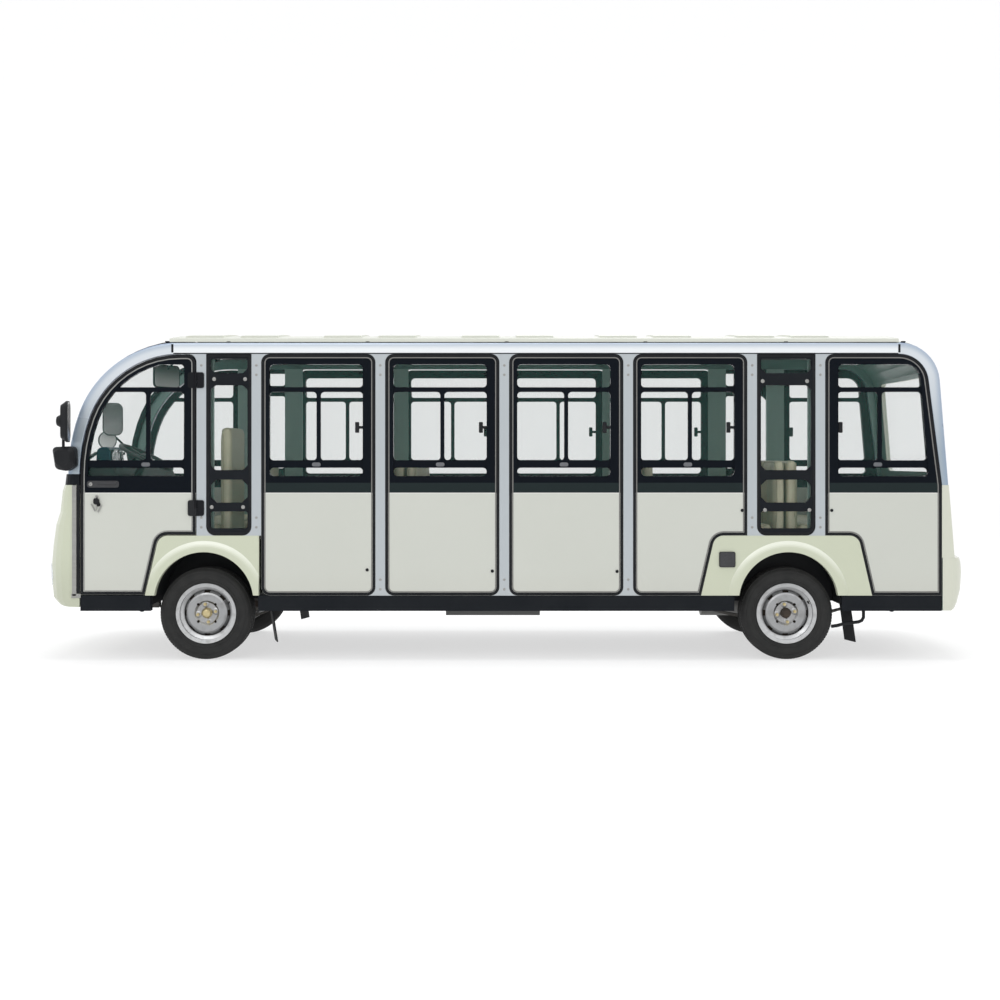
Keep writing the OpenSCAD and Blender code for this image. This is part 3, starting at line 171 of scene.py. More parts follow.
class Finish:
    """A material made of one Principled shader; even values are set on its own sockets."""

    def __init__(self, name, **even):
        self.material = bpy.data.materials.new(name)
        self.material.use_nodes = True
        self.tree = self.material.node_tree
        self.shader = self.tree.nodes["Principled BSDF"]
        for socket, value in even.items():
            self.shader.inputs[socket.replace("_", " ").title().replace("Ior", "IOR")].default_value = value

    def node(self, kind, settings=None, sockets=None, output=0):
        """Makes one node: its settings first, then the values or links of its sockets."""
        made = self.tree.nodes.new("ShaderNode" + kind)
        for key, value in (settings or {}).items():
            setattr(made, key, value)
        for key, value in (sockets or {}).items():
            self.join(made.inputs[key], value)
        return Wire(self, made.outputs[output])

    def join(self, socket, value):
        if isinstance(value, Wire):
            self.tree.links.new(value.socket, socket)
        else:
            socket.default_value = value

    def feed(self, name, value):
        self.join(self.shader.inputs[name], value)

    def place(self):
        return self.node("TexCoord", output=3)

    def parts_of(self, vector):
        split = self.node("SeparateXYZ", None, {0: vector})
        return [Wire(self, out) for out in split.socket.node.outputs]

    def axes(self):
        """The x, y and z of the surface, in metres."""
        return self.parts_of(self.place())

    def facing(self):
        """The x, y and z of the direction that the surface faces."""
        return self.parts_of(self.node("NewGeometry", output=1))

    def reach(self, x, z):
        """Distance in side view from a point, for round outlines."""
        along, _, height = self.axes()
        square = (along - x) * (along - x) + (height - z) * (height - z)
        return square.math("SQRT", square)

    def noise(self, scale, detail=3.0, stretch=(1, 1, 1)):
        there = self.node("Mapping", None, {"Vector": self.place(), "Scale": stretch})
        return self.node("TexNoise", None, {"Vector": there, "Scale": scale, "Detail": detail})

    def mix(self, mask, low, high):
        """Colour low where the mask is 0 and colour high where it is 1."""
        made = self.tree.nodes.new("ShaderNodeMix")
        made.data_type = "RGBA"
        for socket, value in zip([made.inputs[0], made.inputs[6], made.inputs[7]], [mask, low, high]):
            self.join(socket, value)
        return Wire(self, made.outputs[2])

    def bump(self, height, strength, distance):
        sockets = {"Height": height, "Strength": strength, "Distance": distance}
        self.feed("Normal", self.node("Bump", None, sockets))

    def wear(self, *names):
        """These CAD nodes take this finish."""
        for name in names:
            nodes[name].data.materials.clear()
            nodes[name].data.materials.append(self.material)


def tone(colour, share=1.0):
    return (colour[0] * share, colour[1] * share, colour[2] * share, 1)


def sprayed(name, colour, rough, vary, grain, **even):
    """Sprayed paint: slow drift of tone, faint orange peel and a duller film low down.
    Gives the finish and its colour, so that a section can mix something else over it."""
    paint = Finish(name, **even)
    drift = paint.noise(1.7, 2.0)
    low_dust = 1 - paint.axes()[2].between(0.30, 0.62)
    base = paint.mix(drift, tone(colour, 1 - vary), tone(colour, 1 + vary))
    base = paint.mix(low_dust * 0.12, base, (0.45, 0.42, 0.36, 1))
    paint.feed("Base Color", base)
    paint.feed("Roughness", drift * 0.1 + low_dust * 0.12 + rough)
    paint.bump(paint.noise(grain, 1.0), 0.05, 0.0004)
    return paint, base


silver, silver_base = sprayed("silver_satin", (0.43, 0.465, 0.488), 0.30, 0.03, 420)
proud = abs(silver.axes()[1]) > 0.7505
silver.feed("Base Color", silver.mix(proud, silver_base, (0.022, 0.023, 0.026, 1)))
silver.feed("Metallic", proud * 0.65 + 0.35)
silver.feed("Coat Weight", 0.25 - proud * 0.25)
silver.feed("Roughness", silver.noise(1.7, 2.0) * 0.1 + proud * 0.30 + 0.32)
silver.wear("pillars")

# Roof rails and arches are bright drawn section. Painted reflection makes it bluer along its
# outer edge, on its rounded faces and low on the arches, and lighter higher up; the rails' tops
# carry a painted highlight, faces towards the cabin take a painted shade with the green cast of
# the glass, and black sealant lies on the rails' upper edge.
bright, sprayed_low = sprayed("bright_section", (0.34, 0.40, 0.45), 0.24, 0.03, 420, coat_weight=0.3)
rail_front, rail_rear, brow_x, tail_x = 2.160, -2.528, 2.1136, -2.530
along, _, height = bright.axes()
on_rail = (along < rail_front) * (along > rail_rear)
on_front, on_tail = along > brow_x, along < tail_x
# Depth from the outer edge, which runs round two arcs in front, one behind and down the rear wall
on_brow = (height - 1.206) > (along - 1.688) * 0.364
brow_depth, post_depth = 0.6971 - bright.reach(brow_x, 1.3609), 1.150 - bright.reach(1.688, 1.206)
front_depth = on_brow * brow_depth + (1 - on_brow) * post_depth
on_corner = (height - 1.792) > (along - tail_x) * -0.0804
corner_depth, wall_depth = 0.266 - bright.reach(tail_x, 1.792), along - height * 0.08046 + 2.941
tail_depth = on_corner * corner_depth + (1 - on_corner) * wall_depth
edge_depth = on_front * front_depth + on_tail * tail_depth + (1 - on_front - on_tail) * (2.058 - height)
# Painted reflection: lighter higher up, near-white along the rails' tops, bluer along the outer edge and on
# the rounded faces.
section_and_painted_light = bright.mix(height.between(1.25, 1.95), sprayed_low, (0.62, 0.66, 0.70, 1))
section_and_painted_light = bright.mix(on_rail * (height > 1.97), section_and_painted_light, (0.78, 0.81, 0.83, 1))
section_and_painted_light = bright.mix((1 - edge_depth.between(0.004, 0.050)) * 0.62, section_and_painted_light, (0.22, 0.31, 0.44, 1))
rounded = 1 - abs(bright.facing()[1]).between(0.45, 0.97)
section_and_painted_light = bright.mix(rounded * 0.7, section_and_painted_light, (0.20, 0.27, 0.42, 1))
# Painted shade with the green cast of the glass on faces towards the cabin.
cabin_side = bright.facing()[1] * bright.axes()[1] < -0.25
section_and_painted_light = bright.mix(cabin_side, section_and_painted_light, (0.13, 0.215, 0.195, 1))
sealant = (height > 2.0525) * on_rail
bright.feed("Base Color", bright.mix(sealant, section_and_painted_light, (0.020, 0.026, 0.040, 1)))
bright.feed("Metallic", 0.3 - sealant * 0.3)
bright.wear("cant_rails", "arches")


# Rubber strips across the rails where the arches are joined to them, the black drip edge
# along each rail's foot, and the rivets that hold each pillar's cover, in two pairs. The
# second one from the top is left out where a hinge of the right doors sits.
def finished(shape, name, finish, body="root", crease=35):
    """Turns a shape into a piece that wears a finish and rides on a body."""
    data = as_mesh(shape, name)
    data.shade_smooth()
    data.set_sharp_from_angle(angle=math.radians(crease))
    data.materials.append(finish.material)
    piece = placed(name, data)
    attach(piece, body)
    return piece


def blank(wide, tall, corner, steps, foot_only=False):
    """A flat blank in the x and y plane, with all its corners or the two low ones rounded."""
    shape = bmesh.new()
    bmesh.ops.create_grid(shape, x_segments=1, y_segments=1, size=0.5,
                          matrix=Matrix.Diagonal((wide, tall, 1, 1)))
    corners = [v for v in shape.verts if v.co.y < 0 or not foot_only]
    bmesh.ops.bevel(shape, geom=corners, offset=corner, affect="VERTICES", segments=steps,
                    profile=0.5, material=-1)
    return shape


def lift(shape, high):
    """Extrudes a flat shape up z into a closed block and gives its top faces."""
    grown = bmesh.ops.extrude_face_region(shape, geom=shape.faces[:])["geom"]
    bmesh.ops.translate(shape, vec=(0, 0, high),
                        verts=[v for v in grown if isinstance(v, bmesh.types.BMVert)])
    bmesh.ops.recalc_face_normals(shape, faces=shape.faces[:])
    return [f for f in grown if isinstance(f, bmesh.types.BMFace)]


def plate(wide, tall, corner, thick, soft=0.001):
    """A flat part: rounded outline, thickness up z, softened front edge."""
    shape = blank(wide, tall, corner, 5)
    top = lift(shape, thick - soft)
    bmesh.ops.inset_region(shape, faces=top, thickness=soft, depth=soft, use_even_offset=True)
    return shape


def button(radius, high, sides=14):
    """A domed round head that stands up z."""
    shape = bmesh.new()
    bmesh.ops.create_circle(shape, cap_ends=True, segments=sides, radius=radius)
    top = lift(shape, high * 0.3)
    for share, rise in [(0.14, 0.3), (0.26, 0.28), (0.3, 0.12)]:
        bmesh.ops.inset_region(shape, faces=top, thickness=radius * share, depth=high * rise)
    return shape


def stamped(*parts):
    """One shape out of copies: each part is a shape and the matrices that place its copies."""
    whole = bmesh.new()
    for shape, places in parts:
        pattern = as_mesh(shape, "pattern")
        for place in places:
            start = len(whole.verts)
            whole.from_mesh(pattern)
            whole.verts.ensure_lookup_table()
            bmesh.ops.transform(whole, matrix=place, verts=whole.verts[start:])
        bpy.data.meshes.remove(pattern)
    return whole


def at(x, y, z):
    return Matrix.Translation((x, y, z))


def turn(degrees, axis):
    return Matrix.Rotation(math.radians(degrees), 4, axis)


def on_side(x, z, side, y, turned=0):
    """Puts a part's z outwards on one side of the bus, side +1 being the driver's."""
    return at(x, side * y, z) @ turn(-90 * side, "X") @ turn(turned, "Z")


def mottled(name, dark, light, drift, rough, span=0.2, sheen=None, **even):
    """A finish that drifts between two tones, with a gloss that goes by the same noise or its own."""
    made = Finish(name, **even)
    cloud = made.noise(*drift)
    made.feed("Base Color", made.mix(cloud, tone(dark), tone(light)))
    made.feed("Roughness", (made.noise(*sheen) if sheen else cloud) * span + rough)
    return made


rubber = mottled("black_rubber", (0.009, 0.010, 0.012), (0.020, 0.021, 0.023), (9, 4.0), 0.42,
                 specular_ior_level=0.08)
rubber.bump(rubber.noise(700, 2.0), 0.12, 0.0005)
drawn = (60, 3.0, (0.05, 1, 1))
alloy = mottled("drawn_aluminium", (0.26, 0.26, 0.25), (0.38, 0.38, 0.365), drawn, 0.25, metallic=0.85)

both_sides = (1, -1)
rail_face, rivet_seat = 0.7498, 0.7499
strip_places = [on_side(x, 2.018, side, rail_face) for x in (2.162, tail_x) for side in both_sides]
finished(stamped((plate(0.014, 0.054, 0.003, 0.0022), strip_places)),
         "rail_joint_strips", rubber)
drip_places = [on_side(-0.184, 1.9853, side, rail_face) for side in both_sides]
finished(stamped((plate(4.680, 0.0065, 0.0015, 0.0022), drip_places)),
         "rail_drip_edges", rubber)

pillar_x = [1.975, 1.620, 0.820, 0.020, -0.780, -1.580, -2.020]
low_rivets = [0.925, 0.925, 0.525, 0.525, 0.525, 0.925, 0.925]
hinged = pillar_x[1:5]
rivet_places = [on_side(x, z, side, rivet_seat) for x, low in zip(pillar_x, low_rivets)
                for z in (1.908, 1.847, low, low - 0.062) for side in both_sides
                if not (side < 0 and x in hinged and z == 1.847)]
finished(stamped((button(0.0085, 0.0022), rivet_places)), "pillar_rivets", alloy)


# The doors and the fixed panels: one leaf each, white-grey below the belt, black glass-edge
# paint above it and a dull dark band between the two. A black rubber seal runs round each
# leaf, with a thin drawn aluminium line inside it.
leaf = Finish("leaf_paint", specular_ior_level=0.05)
across, outward, high = leaf.axes()
above = high > 1.086
band = (high > 1.0885) * (high < 1.150) * (across < 1.98)
knuckle = abs(outward) > 0.7485
white = leaf.mix(leaf.noise(1.3, 2.0), (0.535, 0.548, 0.500, 1), (0.570, 0.583, 0.535, 1))
white = leaf.mix((1 - high.between(0.42, 0.62)) * 0.10, white, (0.42, 0.39, 0.33, 1))
white = leaf.mix(high > 1.0815, white, (0.74, 0.74, 0.71, 1))
dark = leaf.mix(band, (0.0045, 0.0065, 0.010, 1), (0.017, 0.025, 0.026, 1))
leaf.feed("Base Color", leaf.mix(knuckle, leaf.mix(above, white, dark), (0.012, 0.013, 0.015, 1)))
leaf.feed("Roughness", 0.34 - above * 0.22 + band * 0.2 + knuckle * 0.25)
leaf.feed("Coat Weight", (1 - above) * 0.35)
doors = ["driver_door", "front_right_door", "right_door_2", "right_door_3", "right_door_4", "right_door_5"]
leaf.wear("side_panels", *doors)
leaf_face, leaf_back = 0.7478, 0.714


def leaf_outlines(name):
    """Outer outlines of the leaves in a CAD node, taken round their flat inner faces."""
    shape = bmesh.new()
    shape.from_mesh(nodes[name].data)
    bmesh.ops.remove_doubles(shape, verts=shape.verts[:], dist=2e-5)
    flat = {f for f in shape.faces
            if abs(abs(f.calc_center_median().y) - leaf_back) < 3e-4 and abs(f.normal.y) > 0.99}
    edges = {e: None for e in shape.edges if sum(g in flat for g in e.link_faces) == 1}
    loops = []
    while edges:
        edge, _ = edges.popitem()
        run = [edge.verts[0], edge.verts[1]]
        while True:
            following = [e for e in run[-1].link_edges if e in edges]
            if not following:
                break
            edges.pop(following[0])
            run.append(following[0].other_vert(run[-1]))
        if run[0] is run[-1]:
            run.pop()
        loops.append([v.co.copy() for v in run])
    shape.free()

    def holds(outer, inner):
        """Whether one outline lies round another on the same side."""
        return ((outer[0].y > 0) == (inner[0].y > 0)
                and all(min(p[k] for p in outer) < min(p[k] for p in inner)
                        and max(p[k] for p in outer) > max(p[k] for p in inner) for k in (0, 2)))

    return [loop for loop in loops if not any(holds(other, loop) for other in loops)]


def bead(shape, loop, inside, section):
    """Lays a strip inside an outline on the leaf's face; section rows are width, rise."""
    side = 1 if loop[0].y > 0 else -1
    corners = [shape.verts.new((p.x, side * leaf_face, p.z)) for p in loop]
    face = bmesh.ops.contextual_create(shape, geom=corners)["faces"][0]
    face.normal_update()
    if face.normal.y * side < 0:
        bmesh.ops.reverse_faces(shape, faces=[face])
    spare = bmesh.ops.inset_region(shape, faces=[face], thickness=inside,
                                   use_boundary=True, use_even_offset=True)
    bmesh.ops.delete(shape, geom=spare["faces"], context="FACES")
    for wide, rise in section:
        bmesh.ops.inset_region(shape, faces=[face], thickness=wide, depth=rise,
                               use_boundary=True, use_even_offset=True)
    bmesh.ops.delete(shape, geom=[face], context="FACES_ONLY")


edge_alloy = mottled("dull_aluminium", (0.16, 0.158, 0.152), (0.25, 0.245, 0.235), drawn, 0.35, metallic=0.6)
seal_section = [(0.0015, 0.0022), (0.004, 0.0012), (0.008, 0.0), (0.004, -0.0012), (0.0015, -0.0022)]
line_section = [(0.0012, 0.0016), (0.0056, 0.0), (0.0012, -0.0016)]
for name in ["side_panels"] + doors:
    body = "root" if name == "side_panels" else name
    seal, line = bmesh.new(), bmesh.new()
    for loop in leaf_outlines(name):
        bead(seal, loop, 0.0003, seal_section)
        bead(line, loop, 0.0200, line_section)
    finished(seal, name + "_seal", rubber, body, 50)
    finished(line, name + "_line", alloy if name == "driver_door" else edge_alloy, body, 50)

# Fittings of the sliding windows: an oval catch at the foot of each upright, and a black
# T-shaped pull screwed to the rear frame of the pane, moulded in nylon.
nylon = mottled("moulded_nylon", (0.011, 0.012, 0.014), (0.020, 0.021, 0.023), (6, 2.0), 0.38,
                0.15, (1100, 2.0), specular_ior_level=0.12)
nylon.bump(nylon.noise(1100, 2.0), 0.1, 0.0004)
catch_grey = mottled("catch_grey", (0.10, 0.105, 0.115), (0.16, 0.165, 0.18), (300, 2.0), 0.35,
                     sheen=(80, 2.0))
bays = [(pillar_x[k], pillar_x[k + 1], f"right_door_{k + 1}") for k in (1, 2, 3, 4)]
# Rows are body, side, upright x, rear edge of the window x
windows = [("root", 1, (front + rear) / 2, rear + 0.117) for front, rear, _ in bays]
windows += [("root", side, pillar_x[6] - 0.387, -2.120) for side in both_sides]
windows += [(name, -1, (front + rear) / 2, rear + 0.117) for front, rear, name in bays]
windows += [("driver_door", 1, 2.322, None), ("front_right_door", -1, 2.322, None)]
catch_z, pull_z, pane_face = 1.268, 1.508, 0.7300
for body in ["root"] + doors:
    here = [w for w in windows if w[0] == body]
    catch = [(plate(0.056, 0.026, 0.0125, 0.007, 0.002), 0.7395),
             (plate(0.030, 0.010, 0.0045, 0.004), 0.7455)]
    catches = stamped(*[(part, [on_side(x + 0.014, catch_z, side, y) for _, side, x, _ in here])
                        for part, y in catch])
    finished(catches, body + "_window_catches", catch_grey, body)
    held = [(side, edge, -1 if edge < -2 else 1) for _, side, _, edge in here if edge is not None]
    if held:
        pull = [(plate(0.026, 0.070, 0.006, 0.010, 0.002), 0.034),
                (plate(0.040, 0.018, 0.003, 0.008, 0.0015), 0.014)]
        pulls = stamped(*[(part, [on_side(edge + way * off, pull_z, side, pane_face)
                                  for side, edge, way in held]) for part, off in pull])
        finished(pulls, body + "_window_pulls", nylon, body)


# Where the bars of a sliding window meet, their corners are filled to a round by small
# webs of the same black-painted alloy, as thick as the bars.
def corner_blocks(rim, thick, level, corners):
    """Blocks of one outline set into corners; rows are x, z, way along, way up, side."""
    shape = bmesh.new()
    shape.faces.new([shape.verts.new((x, y, 0)) for x, y in rim])
    lift(shape, thick)
    blocks = stamped((shape, [Matrix(((way, 0, 0, x), (0, 0, side, side * level),
                                      (0, up, 0, z), (0, 0, 0, 1)))
                              for x, z, way, up, side in corners]))
    bmesh.ops.recalc_face_normals(blocks, faces=blocks.faces[:])
    return blocks


web = 0.024
web_rim = [(-0.002, -0.002), (web, -0.002)]
web_rim += [(web * (1 - math.sin(a)), web * (1 - math.cos(a)))
            for a in [math.radians(d) for d in range(0, 91, 15)]]
web_rim += [(-0.002, web)]
# Rows are height, and whether the web lies above its bar (1) or below it (-1)
levels = [(1.767, 1), (1.737, -1), (1.295, 1), (1.247, -1)]
for body in ["root"] + doors:
    corners = []
    for _, side, upright, rear in [w for w in windows if w[0] == body]:
        if upright > 2:
            back, front = [2.089] * 4, []
        elif upright < -2.3:
            back, front = [-2.673, -2.675, -2.711, -2.715], [-2.137] * 4
        else:
            back, front = [upright - 0.286] * 4, [upright + 0.316] * 4
        corners += [(x, z, 1, up, side) for x, (z, up) in zip(back, levels)]
        corners += [(x, z, -1, up, side) for x, (z, up) in zip(front, levels)]
        corners += [(upright + 0.013 * way, z, way, up, side) for way in (1, -1) for z, up in levels[1:3]]
    finished(corner_blocks(web_rim, 0.0185, 0.7208, corners),
             body + "_window_webs", leaf, body, 20)

# Rubber stops on the lower panels, where a door leaf knocks against its holder. Each is a
# domed moulding, screwed to the skin of the panel or the leaf.
stops = [(0.905, 0.588), (0.097, 0.580), (-0.708, 0.578), (-1.516, 0.972), (-2.094, 0.972)]
stop_places = [on_side(x, z, 1, leaf_face) for x, z in stops] + [on_side(*stops[-1], -1, leaf_face)]
finished(stamped((button(0.0105, 0.008), stop_places)), "panel_stops", rubber)
for (x, z), (_, _, name) in zip(stops, bays):
    stop = stamped((button(0.0105, 0.008), [on_side(x, z, -1, leaf_face)]))
    finished(stop, name + "_stop", rubber, name)

# Outside handles, one a door, pressed in black: a grip over a dished plate, with a bright
# round lock beside it. The driver's lock has its keys hanging in it.
chrome = Finish("bright_plate", base_color=(0.82, 0.83, 0.84, 1), metallic=1.0)
chrome.feed("Roughness", chrome.noise(40, 3.0) * 0.12 + 0.06)
satin_black = mottled("satin_black", (0.022, 0.023, 0.026), (0.045, 0.046, 0.050), (12, 2.0), 0.28,
                      0.15, (90, 2.0), specular_ior_level=0.4)
# Rows are body, side, middle of the grip, direction from the grip to the lock
handles = [("driver_door", 1, 2.600, 1), ("front_right_door", -1, 2.600, 1)]
handles += [(name, -1, rear + 0.215, -1) for _, rear, name in bays]
lock_z, grip_z = 1.141, 1.148
for body, side, x, to_lock in handles:
    grip_x, lock_x = x - to_lock * 0.020, x + to_lock * 0.090
    grip = stamped((plate(0.206, 0.044, 0.016, 0.004), [on_side(x + to_lock * 0.010, lock_z, side, 0.7475)]),
                   (plate(0.122, 0.017, 0.007, 0.008, 0.003), [on_side(grip_x, grip_z, side, 0.7520)]),
                   (plate(0.014, 0.015, 0.004, 0.006),
                    [on_side(grip_x + off, grip_z, side, 0.7490) for off in (-0.05, 0.05)]))
    finished(grip, body + "_handle", satin_black, body)
    barrel = stamped((button(0.0125, 0.006, 24), [on_side(lock_x, lock_z, side, 0.7510)]))
    finished(barrel, body + "_lock", alloy, body)
    slit = stamped((plate(0.0022, 0.010, 0.0008, 0.0012, 0.0003), [on_side(lock_x, lock_z, side, 0.7570)]))
    finished(slit, body + "_keyhole", nylon, body)

key_x = 2.650
key_barrel = stamped((button(0.010, 0.005, 20), [on_side(key_x, 1.062, 1, leaf_face)]),
                     (plate(0.003, 0.030, 0.001, 0.012), [on_side(key_x, 1.052, 1, 0.7510)]))
finished(key_barrel, "key_barrel", alloy, "driver_door")
bows = stamped((plate(0.038, 0.042, 0.016, 0.008, 0.002), [on_side(key_x, 1.031, 1, 0.7580)]),
               (plate(0.026, 0.034, 0.011, 0.007, 0.002), [on_side(2.641, 1.014, 1, 0.7510, 30)]))
finished(bows, "key_heads", nylon, "driver_door")
long_blades = [on_side(2.672, 0.990, 1, 0.7530, 28), on_side(2.629, 0.984, 1, 0.7560, -24)]
blades = stamped((plate(0.008, 0.054, 0.002, 0.0022, 0.0005), long_blades),
                 (plate(0.008, 0.044, 0.002, 0.0022, 0.0005), [on_side(key_x, 0.994, 1, 0.7600)]))
finished(blades, "key_blades", alloy, "driver_door")

# Window glass: green-tinted safety glass, cut flat for the sides and bowed for the two
# ends. It hides little of the cabin and shines at its surface.
glass = Finish("green_glass", base_color=(0.045, 0.150, 0.125, 1), alpha=0.09, specular_ior_level=0.8)
glass.feed("Roughness", glass.noise(3, 2.0) * 0.02 + 0.015)
glass.wear("windscreen", "rear_window", "side_glass", *[name + "_glass" for name in doors])

# Narrow windows over the wheels: a black frame glazed from inside and held by domed bolts,
# with a rubber seal laid round it. The same black paint covers the screen's frame and sills.
glaze_black = mottled("frame_black", (0.008, 0.010, 0.013), (0.016, 0.018, 0.021), (5, 3.0), 0.25,
                      0.1, (60, 2.0), specular_ior_level=0.06)
glaze_black.wear("narrow_frames", "windscreen_frame", "side_sills")
bolts = [(1.893, 1.819), (1.693, 1.819), (1.909, 0.993), (1.706, 0.993),
         (-1.648, 1.806), (-1.935, 1.806), (-1.663, 0.974), (-1.950, 0.974)]
bolt_places = [on_side(x, z, side, leaf_face) for side in both_sides for x, z in bolts]
finished(stamped((button(0.0125, 0.005, 18), bolt_places)), "narrow_window_bolts", alloy)
narrow_bays = [(pillar_x[1], pillar_x[0]), (pillar_x[6], pillar_x[5])]
sides = ((1, "left"), (-1, "right"))
for number, (rear, front) in enumerate(narrow_bays):
    for side, word in sides:
        ring, lay = bmesh.new(), blank(front - rear - 0.063, 1.170, 0.060, 8, foot_only=True)
        loop = [Vector(((rear + front) / 2 + v.co.x, side, 1.3955 + v.co.y))
                for v in next(iter(lay.faces)).verts]
        lay.free()
        bead(ring, loop, 0.0005, seal_section)
        finished(ring, f"narrow_seal_{number}_{word}", rubber, "root", 50)

# The two upper openings of each narrow window have chamfered corners where the bar
# crosses: small gussets of the frame's own alloy, welded in before it is painted.
gusset_rim = [(-0.002, -0.002), (0.034, -0.002), (0.034, 0), (0.026, 0.004),
              (0.004, 0.026), (0, 0.034), (-0.002, 0.034)]
for number, (rear, front) in enumerate(narrow_bays):
    corners = [(x, z, way, up, side) for side in both_sides
               for x, way in ((rear + 0.057, 1), (front - 0.057, -1))
               for z, up in ((1.858, 1), (1.780, -1), (1.232, 1))]
    gussets = corner_blocks(gusset_rim, 0.0222, 0.7255, corners)
    finished(gussets, f"narrow_gussets_{number}", glaze_black, "root", 20)

# Roof, nose, tail, bumper and fenders: glass-fibre shells in one pale greenish cream, with
# a soft gloss. Faces that look up carry a painted highlight, the nose is painted darker low
# down as shade, and tail faces towards the cabin take a painted shade with the green cast
# of the glass. The roof is painted darker on top as shade and lined with dark felt below,
# which carries a painted green cast of the glass, and its joints are covered by small black
# clips at its edges.
cream, cream_base = sprayed("cream_gloss", (0.530, 0.560, 0.430), 0.24, 0.02, 260,
                            coat_weight=0.4, coat_roughness=0.10)
# Faces that look up carry a painted highlight, lighter and paler.
upward = cream.facing()[2].between(0.04, 0.42)
shell = cream.mix(upward * 0.85, cream_base, (0.80, 0.82, 0.72, 1))
shell_x, _, shell_up = cream.axes()
# The nose is painted darker low down, as shade.
shell = cream.mix((shell_x > 2.7) * (1 - shell_up.between(0.40, 0.75)) * 0.35, shell, (0.36, 0.38, 0.28, 1))
shell = cream.mix((shell_x < -2.55) * 0.40, shell, (0.68, 0.67, 0.63, 1))
# Tail faces that look into the cabin take a painted shade with the green cast of the glass.
cabin_facing_shade = (cream.facing()[0] > 0.2) * (shell_x < -2.4)
cream.feed("Base Color", cream.mix(cabin_facing_shade, shell, (0.17, 0.26, 0.235, 1)))
cream.wear("nose", "rear_body", "rear_bumper", "front_fenders", "rear_fenders")
roof_coat, roof_base = sprayed("roof_gelcoat", (0.62, 0.635, 0.565), 0.34, 0.02, 260, coat_weight=0.2)
# Faces that look up are painted darker, as shade; faces that look down take the dark felt's colour with a
# painted green cast of the glass.
roof_up = roof_coat.facing()[2]
painted_shade_on_top = roof_coat.mix(roof_up.between(0.45, 0.95) * 0.9, roof_base, (0.44, 0.45, 0.395, 1))
roof_coat.feed("Base Color", roof_coat.mix(roof_up < -0.6, painted_shade_on_top, (0.070, 0.105, 0.098, 1)))
roof_coat.wear("roof_panel")
clip_places = [on_side(x, 2.0575, side, 0.716) @ turn(-68, "X")
               for x in (2.198, 1.802, 0.903, 0.004, -0.892, -1.801, -2.560) for side in both_sides]
finished(stamped((plate(0.030, 0.046, 0.004, 0.005, 0.0015), clip_places)),
         "roof_joint_clips", rubber)

# Beside the driver's door the nose ends in an aluminium moulding, with a rubber seal for
# the door's edge, and a small plate at the sill.
for side, word in sides:
    moulding = stamped((plate(0.027, 0.715, 0.003, 0.0035, 0.0012), [on_side(2.795, 0.777, side, 0.7500)]),
                       (plate(0.060, 0.026, 0.003, 0.0035), [on_side(2.783, 0.420, side, 0.7500)]))
    finished(moulding, f"nose_moulding_{word}", alloy)
    edge = stamped((plate(0.021, 0.700, 0.003, 0.0030), [on_side(2.7695, 0.785, side, 0.7500)]))
    finished(edge, f"nose_edge_seal_{word}", rubber)

# Headlamps: a bright pressed dish with a bulb, and a smaller indicator beside it, behind
# the clear moulded cover of each corner.
lamp_glass = Finish("lamp_cover", base_color=(0.72, 0.80, 0.84, 1), alpha=0.38, coat_weight=1.0)
lamp_glass.feed("Roughness", lamp_glass.noise(4, 2.0) * 0.04 + 0.04)
lamp_glass.wear("headlights")
lamp_y, indicator_y, lamp_z = 0.455, 0.580, 0.545
for side, word in sides:
    dish = bmesh.new()
    for y, wide in ((lamp_y, 0.062), (indicator_y, 0.044)):
        ball = bmesh.ops.create_uvsphere(dish, u_segments=32, v_segments=16, radius=1.0)["verts"]
        open_front = [v for v in ball if v.co.z > 0.02]
        hollow = [v for v in ball if v.co.z <= 0.02]
        bmesh.ops.delete(dish, geom=open_front, context="VERTS")
        to_lamp = at(2.930 - (y - lamp_y) * 0.35, side * y, lamp_z) @ turn(90, "Y")
        bmesh.ops.transform(dish, verts=hollow, matrix=to_lamp @ Matrix.Diagonal((wide, wide, 0.055, 1)))
    bmesh.ops.solidify(dish, geom=dish.faces[:], thickness=0.002)
    finished(dish, f"headlamp_dish_{word}", chrome)
    bulb = bmesh.new()
    for x, y, radius in ((2.905, lamp_y, 0.014), (2.865, indicator_y, 0.011)):
        bmesh.ops.create_uvsphere(bulb, u_segments=20, v_segments=12, radius=radius,
                                  matrix=at(x, side * y, lamp_z))
    finished(bulb, f"headlamp_bulbs_{word}", lamp_glass)

# Air intake below the windscreen: a black moulded grille that wraps towards the corners,
# with five blades. Its outer face follows the nose.
blade = bmesh.new()
bmesh.ops.create_grid(blade, x_segments=28, y_segments=1, size=0.5,
                      matrix=Matrix.Diagonal((1.06, 0.010, 1, 1)))
grille = stamped((blade, [at(0, 0, level) @ turn(90, "Z") @ turn(90, "X")
                          for level in (1.120, 1.090, 1.060, 1.030, 1.000)]))
nose_shape = bmesh.new()
nose_shape.from_mesh(nodes["nose"].data)
nose_tree = BVHTree.FromBMesh(nose_shape)
nose_shape.free()
for vert in grille.verts:
    hit, _, _, _ = nose_tree.ray_cast(Vector((4, vert.co.y, vert.co.z)), Vector((-1, 0, 0)))
    if hit:
        vert.co.x = hit.x + 0.004
bmesh.ops.recalc_face_normals(grille, faces=grille.faces[:])
bmesh.ops.solidify(grille, geom=grille.faces[:], thickness=0.006)
finished(grille, "nose_grille", nylon)

